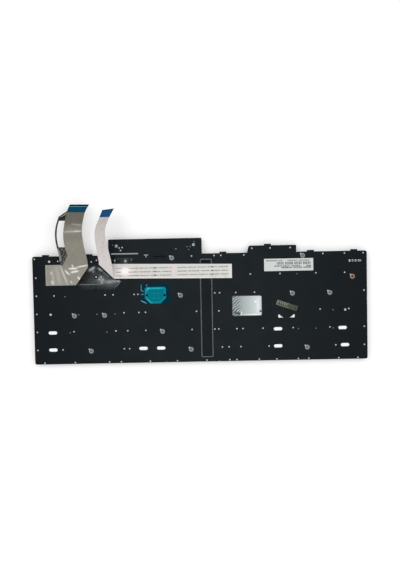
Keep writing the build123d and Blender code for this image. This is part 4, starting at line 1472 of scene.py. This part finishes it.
@dataclass
class CoverFilm:
    """The tinted film with a raised pan that has a broad rim, four small dots and two pierced places."""

    sides: tuple[float, float, float, float] = (-10.9, 11.4, -10.2, 7.4)
    lower_cut: float = 5.8
    upper_cut: float = 1.6
    rim: float = 3.0
    rise: float = 0.48
    rim_share: float = 0.7
    dot_place: Place = (1.0, -1.9)
    dot_spacing: Place = (2.3, 2.4)
    dot_r: float = 0.8
    dot_depth: float = 0.08
    holes: tuple[Place, ...] = ((-8.8, -1.2), (9.8, -1.4))
    hole_r: float = 1.2
    hole_span: Place = (-0.3, 0.02)
    # Marks of positive strength are painted highlights along the pan's top and left edges and lower left chamfer;
    # negative ones are pale scuffs
    marks: Marks = (
        (1.0, 5.9, 8.0, 0.8, 0, 0.16), (-7.6, 5.0, 2.2, 0.9, 60, 0.22), (-6.4, -7.2, 4.6, 0.7, -42, 0.15),
        (-9.9, 1.0, 4.5, 0.7, 90, 0.08), (-12.2, -8.2, 3.4, 0.5, -26, -0.26), (-14.5, 7.2, 3.2, 0.4, 90, -0.2),
        (-8.8, 9.2, 1.2, 0.45, 80, -0.2), (-13.4, -0.3, 1.7, 0.35, 0, -0.24), (-13.4, 3.4, 1.8, 0.6, -30, -0.16),
        (-1.8, -10.4, 1.0, 0.35, -60, -0.2),
    )

    def inside(self, x: np.ndarray, y: np.ndarray) -> np.ndarray:
        """How far places lie inside the pan's outline: the least of their distances to its sides and cut corners.

        Args:
            x: places along X from the film's middle.
            y: places along Y.

        Returns:
            The distances, below 0 outside.
        """
        left, right, bottom, top = self.sides
        along = np.minimum(x - left, right - x)
        low, high = y - bottom, top - y
        cuts = [(along + low - self.lower_cut) / np.sqrt(2), (along + high - self.upper_cut) / np.sqrt(2)]
        return np.minimum.reduce([along, low, high, *cuts])

    def dots(self, x: np.ndarray, y: np.ndarray) -> np.ndarray:
        """One on the four small dots, falling off as a flat-topped bell curve.

        Args:
            x: places along X from the film's middle.
            y: places along Y.

        Returns:
            The shares, from 0 to 1.
        """
        across = np.abs(x - self.dot_place[0]) - self.dot_spacing[0]
        along = np.abs(y - self.dot_place[1]) - self.dot_spacing[1]
        return np.exp(-((np.hypot(across, along) / self.dot_r) ** 4))

    def tint(self, x: np.ndarray, y: np.ndarray) -> np.ndarray:
        """Dark margin, teal pan, a rim lighter as a painted highlight, a dark line inside it, lighter dots, painted
        highlights along the pan's top and left edges and lower left chamfer, and pale scuffs.

        Args:
            x: places along X from the film's middle.
            y: places along Y.

        Returns:
            The tints.
        """
        inside = self.inside(x, y)
        pan = 0.26 * smooth_step(inside, -0.3, 0.4)
        # The lighter rim is a painted highlight along the emboss
        rim = 0.08 * smooth_step(inside, 0.2, 0.8) * (1 - smooth_step(inside, self.rim - 0.6, self.rim))
        line = 0.07 * np.exp(-(((inside - self.rim - 0.2) / 0.4) ** 2))
        return 0.34 + pan + rim - line + 0.14 * self.dots(x, y) + spots(x, y, self.marks)

    def build(self) -> None:
        """Builds the embossed film in place of its plain solid, with a dark dot in each pierced place."""
        middle, half = plan("cover_film")
        flat_top = middle[2] - half[2] + FILM_T
        x, y = np.meshgrid(np.linspace(-half[0], half[0], 120), np.linspace(-half[1], half[1], 90))
        inside = self.inside(x, y)
        step = self.rim_share * smooth_step(inside, -0.4, 0.5)
        step += (1 - self.rim_share) * smooth_step(inside, self.rim, self.rim + 0.8)
        rise = self.rise * step - self.dot_depth * self.dots(x, y)
        top = np.stack([x + middle[0], y + middle[1], flat_top + rise], -1)
        whole = Shape.sheet(top, FILM_T, self.tint(x, y))
        whole.put("embossed_cover_film", TEAL_FILM, Slot.TEAL, "cover_film")
        low, high = (flat_top + self.rim_share * self.rise + shift for shift in self.hole_span)
        profile = [(0.0, low), (self.hole_r, low), (self.hole_r, high), (0.0, high)]
        holes = Shape.turned(profile, np.array(self.holes) + middle[:2], 16)
        holes.put("cover_film_holes", DARK_BAR, Slot.BLACK_FILM)


@dataclass
class ModulePlate:
    """The bright pressed plate of the stick's module, with rolled edges painted dark as painted shade, a painted sheen
    brighter to the right, brushed streaks and a few marks.
    """

    corner_r: float = 2.6
    roll: float = 0.9
    drop: float = 0.25
    thickness: float = 0.3
    streak_pitch: float = 2.5
    streak_turn_deg: float = 38.0
    # The last mark is a band of painted sheen on the right
    marks: Marks = (
        (-8.2, -8.0, 0.9, 0.8, 0, -1.1), (-11.2, -7.4, 3.0, 1.3, -20, -0.4), (-6.0, -7.4, 1.6, 0.7, 90, 0.35),
        (8.9, 4.0, 0.9, 0.9, 0, 0.25), (14.0, -5.9, 1.0, 0.8, 0, -1.1), (3.0, -9.3, 11.0, 0.6, 0, 0.2),
        (11.5, 0.0, 8.0, 1.6, 90, 0.1),
    )

    def tint(self, x: np.ndarray, y: np.ndarray, inside: np.ndarray) -> np.ndarray:
        """Painted shade at the rolled edge, a painted sheen brighter to the right, with slanting wavy streaks over the
        left third.

        Args:
            x: places along X from the plate's middle.
            y: places along Y.
            inside: how far they lie inside its edge.

        Returns:
            The tints.
        """
        angle = np.radians(self.streak_turn_deg)
        phase = 2 * np.pi * (y * np.cos(angle) - x * np.sin(angle)) / self.streak_pitch
        waves = np.sin(phase + 1.1 * np.sin(0.5 * x + 0.7 * y)) * (0.75 + 0.25 * np.sin(0.9 * y - 0.4 * x))
        fine = np.sin(1.4 * phase + 2.4 * np.sin(0.6 * x + 0.3 * y)) * np.sin(0.7 * x - 0.5 * y)
        streaks = 0.8 * np.clip(waves, 0, 1) * (1 - smooth_step(x, -13.0, -3.0)) + 0.09 * fine
        # The rise towards the right and the last mark are a painted sheen; the fall to the edge below is painted shade
        face = 0.6 + 0.21 * smooth_step(x, -9.0, 12.0) - streaks + spots(x, y, self.marks)
        return face * smooth_step(inside, 0.3, 0.95)

    def build(self) -> None:
        """Builds the plate in place of its plain solid."""
        middle, half = plan("stick_module_plate")
        x, y, inside = rounded_grid(half[:2], self.corner_r, 120, 84)
        fall = self.drop * (1 - smooth_step(inside, 0.0, self.roll))
        top = np.stack([x + middle[0], y + middle[1], middle[2] + half[2] - fall], -1)
        whole = Shape.sheet(top, self.thickness, self.tint(x, y, inside))
        whole.put("rolled_module_plate", MODULE_STEEL, Slot.MODULE, "stick_module_plate")


@dataclass
class SpineOutline:
    """The pale printed outline of the tall film and the dark bar inside its top."""

    middle: Place = (6.7, -8.7)
    half: Place = (6.3, 51.7)
    round_r: float = 1.8
    line: float = 0.95
    bar: Bar = (6.7, 40.6, 9.0, 1.4)

    def build(self) -> None:
        """Lays the outline and the bar."""
        low = Z_BACK + FILM_T - PRINT_SUNK
        line = bands(np.array([self.middle]), np.array(self.half), self.round_r, self.line, low, PRINT_T)
        line.put("spine_outline", LINE_GREY, Slot.BLACK_FILM)
        bars([self.bar], low, PRINT_T).put("spine_bar", DARK_BAR, Slot.BLACK_FILM)


@dataclass
class ClearTapes:
    """Crinkled clear tape, spread over an outline from its middle."""

    glints: Marks
    outlines: tuple[tuple[Place, ...], ...] = (
        (
            (-115.8, -11.5), (-106.6, -9.4), (-90.6, -25.1), (-81.3, -27.1), (-90.4, -36.4), (-125.9, -36.2),
            (-128.6, -31.0),
        ),
        ((-89.6, -10.6), (-89.6, -3.0), (-66.7, -3.2), (-66.7, -10.9)),
    )
    thickness: float = 0.06
    crinkle: float = 0.18
    side_steps: int = 16
    rings: int = 32
    least_ring: float = 0.04
    plain_tint: float = 0.01

    def tape(self, outline: tuple[Place, ...]) -> Shape:
        """One tape: rings shrunk from its outline to its middle, lifted by three crossing waves.

        Args:
            outline: corners as X and Y from the back edge.

        Returns:
            The closed tape.
        """
        corners = np.array(outline) + [0.0, Y_BACK]
        edge = between(corners, np.roll(corners, -1, 0), self.side_steps + 1)[:, :-1].reshape(-1, 2)
        middle = edge.mean(0)
        scale = np.linspace(1.0, self.least_ring, self.rings)[:, None]
        flat = middle + (edge - middle) * scale[..., None]
        x, y = flat[..., 0], flat[..., 1]
        waves = np.sin(0.9 * x + 0.4 * y) + np.sin(0.5 * x - 1.1 * y + 1.0) + np.sin(1.7 * y + 0.3 * x)
        rise = self.crinkle * np.abs(waves / 3) * (1 - scale**6)
        under = Z_BACK + SEAT
        top = level(flat, under + self.thickness + rise)
        loops = np.concatenate([level(flat[:1], under), top])
        poles = [np.array([(*middle, z)]) for z in (under, top[-1, :, 2].mean())]
        whole = Shape.ringed(loops[None], *poles)
        # The marks paint glints and sheen on the tape
        whole.tint = self.plain_tint + spots(whole.points[:, 0], whole.points[:, 1] - Y_BACK, self.glints)
        return whole

    def build(self) -> None:
        """Builds the tapes in place of their plain solids."""
        whole = Shape.join([self.tape(outline) for outline in self.outlines])
        whole.put("crinkled_tape", TAPE, Slot.TAPE, "clear_tape")


@dataclass(frozen=True)
class Key:
    """One keycap: its middle, half the size of its rim, and the generic legend on its top."""

    middle: np.ndarray
    half: np.ndarray
    legend: str


@dataclass
class KeyCaps:
    """All keycaps on the hidden front, with their legends, and the rubber domes that carry them."""

    moving: dict[str, str]
    like_rows: list[tuple[int, float, str]]
    function_legends: list[str]
    pad_columns: int = 4
    height: float = 2.3
    ceiling: float = 0.9
    wall: float = 1.1
    wall_lean: float = 0.1
    outside: tuple[Place, ...] = ((0.12, 1.5), (0.3, 0.8), (0.45, 0.36), (0.62, 0.12), (0.9, 0.02), (1.25, 0.0))
    dish: float = 0.28
    dish_rings: tuple[float, ...] = (0.75, 0.45, 0.18)
    corner_r: float = 1.7
    least_r: float = 0.4
    smile_width: float = 2.6
    smile_depth: float = 1.2
    stick_clearance: float = 4.8
    travel: float = 1.7
    dome: tuple[Place, ...] = ((0.0, 0.0), (1.3, 0.0), (1.45, 0.15), (1.5, 1.0), (1.85, 1.9), (2.5, 2.7))
    flange_r: float = 2.7
    flange_t: float = 0.2
    letter_size: float = 4.2
    word_size: float = 2.6
    legend_t: float = 0.02

    def row(self, left: float, y: float, pitch: float, depth: float, legends: str | list[str]) -> list[Key]:
        """Keys with these legends side by side in a row, from its left end towards -X."""
        half = np.array([pitch - KEY_GAP, depth - KEY_GAP]) / 2
        return [Key(np.array([left - (at + 0.5) * pitch, y]), half, legend) for at, legend in enumerate(legends)]

    def like(self) -> list[Key]:
        """The letter, digit and function keys, placed on the key grid.

        Returns:
            The keys.
        """
        start = X_SIDE - SIDE_MARGIN
        keys = []
        for row, units, legends in self.like_rows:
            y = Y_FRONT + FRONT_MARGIN + (row + 0.5) * ROW_PITCH
            keys += self.row(start - units * KEY_PITCH, y, KEY_PITCH, ROW_PITCH, legends)
        wide = MAIN_UNITS * KEY_PITCH
        y = Y_BACK - BACK_MARGIN - FUNCTION_PITCH / 2
        keys += self.row(start, y, wide / len(self.function_legends), FUNCTION_PITCH, self.function_legends)
        return keys + self.row(start - wide - PAD_GAP, y, PAD_PITCH, FUNCTION_PITCH, [""] * self.pad_columns)

    def rim(self, half: np.ndarray, inset: float) -> np.ndarray:
        """Rounded outlines of all keys, drawn in by an inset.

        Points on a rectangle's edge are pushed to a corner radius from the rectangle drawn in by that radius,
        and the front corners are swept back by a square curve.

        Args:
            half: half sizes of shape (keys, 2).
            inset: how far the outline is drawn in.

        Returns:
            Places of shape (keys, corners, 2).
        """
        size = (half - inset)[:, None]
        radius = max(self.corner_r - inset, self.least_r)
        core = size - radius
        steps = core * RIM_STRAIGHT[:, None] + radius * RIM_ROUND[:, None]
        edge = np.broadcast_to(size, steps.shape)
        low = -np.stack([steps[..., 0], edge[..., 1]], -1)
        left = np.stack([-edge[..., 0], steps[..., 1]], -1)
        square = np.concatenate([low, left, -low, -left], 1)
        held = np.clip(square, -core, core)
        out = square - held
        points = held + radius * out / np.maximum(np.linalg.norm(out, axis=-1, keepdims=True), 1e-9)
        sweep = np.clip((np.abs(points[..., 0]) - (size[..., 0] - self.smile_width)) / self.smile_width, 0, 1)
        points[..., 1] += self.smile_depth * sweep**2 * np.clip(-points[..., 1] / size[..., 1], 0, 1)
        return points

    def caps(self, keys: list[Key]) -> Shape:
        """Hollow caps: a ceiling, an inner wall, a rim, a leaning outer wall, a soft edge and a dished top.

        Args:
            keys: the keys.

        Returns:
            The joined caps.
        """
        half, middle = np.array([key.half for key in keys]), np.array([key.middle for key in keys])
        steps = [(self.wall + self.wall_lean, self.ceiling), (self.wall, self.height), (0.0, self.height)]
        loops = [level(self.rim(half, inset), z) for inset, z in (*steps, *self.outside)]
        edge = loops[-1][..., :2]
        for share in self.dish_rings:
            loops.append(level(share * edge, self.hollow(share * edge, half)))
        whole = np.stack(loops, 1)
        whole[..., :2] += middle[:, None, None]
        stick = [X_SIDE - SIDE_MARGIN - STICK_UNITS * KEY_PITCH, Y_FRONT + FRONT_MARGIN + 2 * ROW_PITCH]
        away = whole[..., :2] - stick
        reach = np.linalg.norm(away, axis=-1, keepdims=True)
        whole[..., :2] = stick + away * np.maximum(1.0, self.stick_clearance / np.maximum(reach, 0.1))
        return Shape.ringed(whole, level(middle, self.ceiling), level(middle, self.dish))

    def hollow(self, flat: np.ndarray, half: np.ndarray) -> np.ndarray:
        """Depth of the dish: a parabola across times a parabola along."""
        return self.dish * np.prod(1 - (flat / half[:, None]) ** 2, axis=-1)

    def legends(self, keys: list[Key]) -> Shape | None:
        """Legends of all keys that have one, thin and closed, facing down from the tops."""
        shapes = [self.legend(key) for key in keys if key.legend]
        return Shape.join(shapes) if shapes else None

    def legend(self, key: Key) -> Shape:
        """One legend: thin letters turned over to the cap's top and laid on its dish.

        Args:
            key: the key.

        Returns:
            The legend.
        """
        curve = bpy.data.curves.new("legend", "FONT")
        curve.body = key.legend
        curve.size = self.letter_size if len(key.legend) == 1 else self.word_size
        curve.align_x = "CENTER"
        curve.align_y = "CENTER"
        curve.resolution_u = 2
        curve.extrude = self.legend_t
        points, faces = curve_mesh(curve)
        points *= [-1.0, 1.0, -1.0]
        points[:, 2] += self.hollow(points[None, :, :2], key.half[None])[0]
        return Shape(points + [*key.middle, 0.0], [faces])

    def domes(self, keys: list[Key]) -> Shape:
        """Rubber domes from the membrane to the caps' ceilings: a flange, a leaning wall and a small top.

        Args:
            keys: the keys.

        Returns:
            The joined domes.
        """
        profile = [(radius, self.ceiling + rise) for radius, rise in self.dome]
        profile += [(self.flange_r, Z_MEMBRANE - self.flange_t), (self.flange_r, Z_MEMBRANE), (0.0, Z_MEMBRANE)]
        return Shape.turned(profile, np.array([key.middle for key in keys]), 12)

    def build(self) -> None:
        """Builds the moving caps with their domes, and the like caps with theirs."""
        for node, legend in self.moving.items():
            middle, half = plan(node)
            keys = [Key(middle[:2], half[:2], legend)]
            self.caps(keys).put(f"{node}_cap", KEY_PLASTIC, Slot.KEY, node, node, self.legends(keys))
            dome = self.domes(keys).put(f"{node}_dome", DOME_RUBBER, Slot.DOME, "rubber_domes")
            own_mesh(dome)
        keys = self.like()
        legends = self.legends(keys)
        self.caps(keys).put("letter_caps", KEY_PLASTIC, Slot.KEY, "letter_and_function_keys", legends=legends)
        self.domes(keys).put("letter_domes", DOME_RUBBER, Slot.DOME)


@dataclass
class StickCap:
    """The pointing stick's soft cap: a dished top with two rings of small pips."""

    steps: tuple[Place, ...] = (
        (0.0, 0.35), (1.2, 0.3), (2.2, 0.12), (2.8, 0.05), (3.15, 0.3), (3.3, 0.8), (3.2, 1.5), (2.9, 2.0),
    )
    foot_r: float = 2.8
    pips: int = 18
    pip_reach: Place = (2.1, 1.15)
    pip_steps: tuple[Place, ...] = ((0.0, 0.0), (0.14, 0.02), (0.24, 0.12), (0.26, 0.4), (0.0, 0.4))

    def build(self) -> None:
        """Turns the cap round the stick and sets the pips in two rings on its top."""
        low, high = box_mm("stick_cap")
        middle = ((low + high) / 2)[None, :2]
        profile = [(radius, low[2] + rise) for radius, rise in self.steps]
        cap = Shape.turned(profile + [(self.foot_r, high[2]), (0.0, high[2])], middle, 32)
        angle = np.linspace(0, 2 * np.pi, self.pips, endpoint=False)
        reach = np.resize(self.pip_reach, self.pips)
        places = middle + np.stack([reach * np.cos(angle), reach * np.sin(angle)], -1)
        pips = Shape.turned([(radius, low[2] + rise) for radius, rise in self.pip_steps], places, 8)
        Shape.join([cap, pips]).put("stick_soft_cap", STICK_RUBBER, Slot.STICK, "stick_cap")


@dataclass
class Studio:
    """The photograph's camera, a white floor and plain soft light."""

    sky: float = 0.74
    floor_glow: float = 0.18
    floor_half: float = 3.0
    floor_grey: float = 0.9
    lamps: tuple[tuple[Point, float, float], ...] = (
        ((-0.9, 0.55, 0.95), 3.6, 0.9), ((0.95, 0.35, 0.9), 3.0, 0.9), ((0.0, -1.1, 0.8), 1.8, 0.8),
    )

    def camera(self) -> None:
        """Sets the camera where the photograph was taken from."""
        data = bpy.data.cameras.new("photo_camera")
        data.sensor_width = SENSOR_MM
        data.lens = SENSOR_MM * FOCAL_PX / PHOTO_HEIGHT
        data.clip_end = 20.0
        camera = bpy.data.objects.new("photo_camera", data)
        turn = Matrix.Identity(4)
        for angle, axis in ((VIEW_TILT_DEG, "X"), (VIEW_LEAN_DEG, "Y"), (VIEW_ROLL_DEG, "Z")):
            turn = turn @ Matrix.Rotation(np.radians(angle), 4, axis)
        place = (np.array(VIEW_TARGET) + np.array(turn.col[2][:3]) * VIEW_DISTANCE) * MM
        camera.matrix_world = Matrix.Translation(place) @ turn
        bpy.context.scene.collection.objects.link(camera)
        bpy.context.scene.camera = camera

    def floor(self) -> None:
        """Lays a white floor under the keys that keeps their shadow."""
        white = bpy.data.materials.new("floor_white")
        sheet = NodeSheet(white)
        inputs = {
            "Base Color": (self.floor_grey, self.floor_grey, self.floor_grey, 1.0),
            "Roughness": 0.9,
            "Specular IOR Level": 0.0,
            "Emission Color": (1.0, 1.0, 1.0, 1.0),
            "Emission Strength": sheet.seen(0.0, self.floor_glow),
        }
        sheet.feed(sheet.shader, inputs)
        half = self.floor_half
        mesh = bpy.data.meshes.new("floor")
        mesh.from_pydata([(-half, -half, 0), (half, -half, 0), (half, half, 0), (-half, half, 0)], [], [(0, 1, 2, 3)])
        mesh.materials.append(white)
        floor = bpy.data.objects.new("floor", mesh)
        bpy.context.scene.collection.objects.link(floor)

    def light(self) -> None:
        """Hangs the soft lamps round the object and lights the world evenly."""
        for index, (place, power, size) in enumerate(self.lamps):
            data = bpy.data.lights.new(f"soft_lamp_{index}", "AREA")
            data.shape = "DISK"
            data.size = size
            data.energy = power
            lamp = bpy.data.objects.new(f"soft_lamp_{index}", data)
            aim = Vector(place).to_track_quat("Z", "Y").to_matrix().to_4x4()
            lamp.matrix_world = Matrix.Translation(place) @ aim
            bpy.context.scene.collection.objects.link(lamp)
        world = bpy.data.worlds.new("studio_sky")
        sheet = NodeSheet(world)
        sheet.feed(sheet.shader, {"Color": (1.0, 1.0, 1.0, 1.0), "Strength": sheet.seen(self.sky, 1.0)})
        bpy.context.scene.world = world

    def build(self) -> None:
        """Sets up the camera, the floor, the light and the plain view transform."""
        self.camera()
        self.floor()
        self.light()
        bpy.context.scene.view_settings.view_transform = "Standard"


DRESSES = {
    "back_plate": PLATE_PAINT,
    "key_frame": FRAME_PLASTIC,
    "switch_membrane": MEMBRANE,
    "light_guide": WHITE_SHEET,
    "stick_sensor": BOARD,
    "rating_label": LABEL_PAPER,
    "spine_film": BLACK_FILM,
}


def main() -> None:
    """Sets up the stage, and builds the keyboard's pieces in order."""
    logging.basicConfig(level=logging.INFO, format="%(message)s")
    Studio().build()
    strip = SideStrip(outer=SIDE_STRIP, tail_edge=WIDE_LEFT[TAIL_START:]).build()
    RibbonCable(
        name="wide_grey_ribbon",
        node="keyboard_ribbon",
        left=WIDE_LEFT,
        right=WIDE_RIGHT,
        width=19.3,
        length=119.0,
        finish=GREY_FILM,
        slot=Slot.GREY_RIBBON,
        tip=TEAL_TIP,
        contacts=40,
        laid_length=38.0,
        laid_glints_and_lines=WIDE_LAID_GLINTS,
        tail_glints_and_specks=WIDE_TAIL_GLINTS_AND_SHADE,
        crumple=0.5,
    ).build((strip,))
    RibbonCable(
        name="white_light_ribbon",
        node="backlight_ribbon",
        left=BACKLIGHT_LEFT,
        right=BACKLIGHT_RIGHT,
        width=15.0,
        length=200.0,
        finish=WHITE_FILM,
        slot=Slot.WHITE_RIBBON,
        tip=BLUE_TIP,
        contacts=12,
        laid_length=130.0,
        laid_glints_and_lines=WHITE_LAID_GLARE_AND_LINES,
        tail_glints_and_specks=WHITE_TAIL_CREASES,
    ).build()
    for node, finish in DRESSES.items():
        dress(node, finish)
    PlateFittings(STAKE_ROWS, STAKES, LARGE_STAKES, FAINT_STAKES, INSERT_PLACES, BRASS_PLACE).build()
    StampedMarks().build()
    SlotLips(OVAL_PLACES, WING_PLACE).build()
    Stickers().build()
    RibbonPrint().build()
    CoverFilm().build()
    ModulePlate().build()
    SpineOutline().build()
    ClearTapes(TAPE_GLINTS).build()
    KeyCaps(MOVING_LEGENDS, LIKE_ROWS, FUNCTION_LEGENDS).build()
    StickCap().build()


if __name__ == "__main__":
    main()
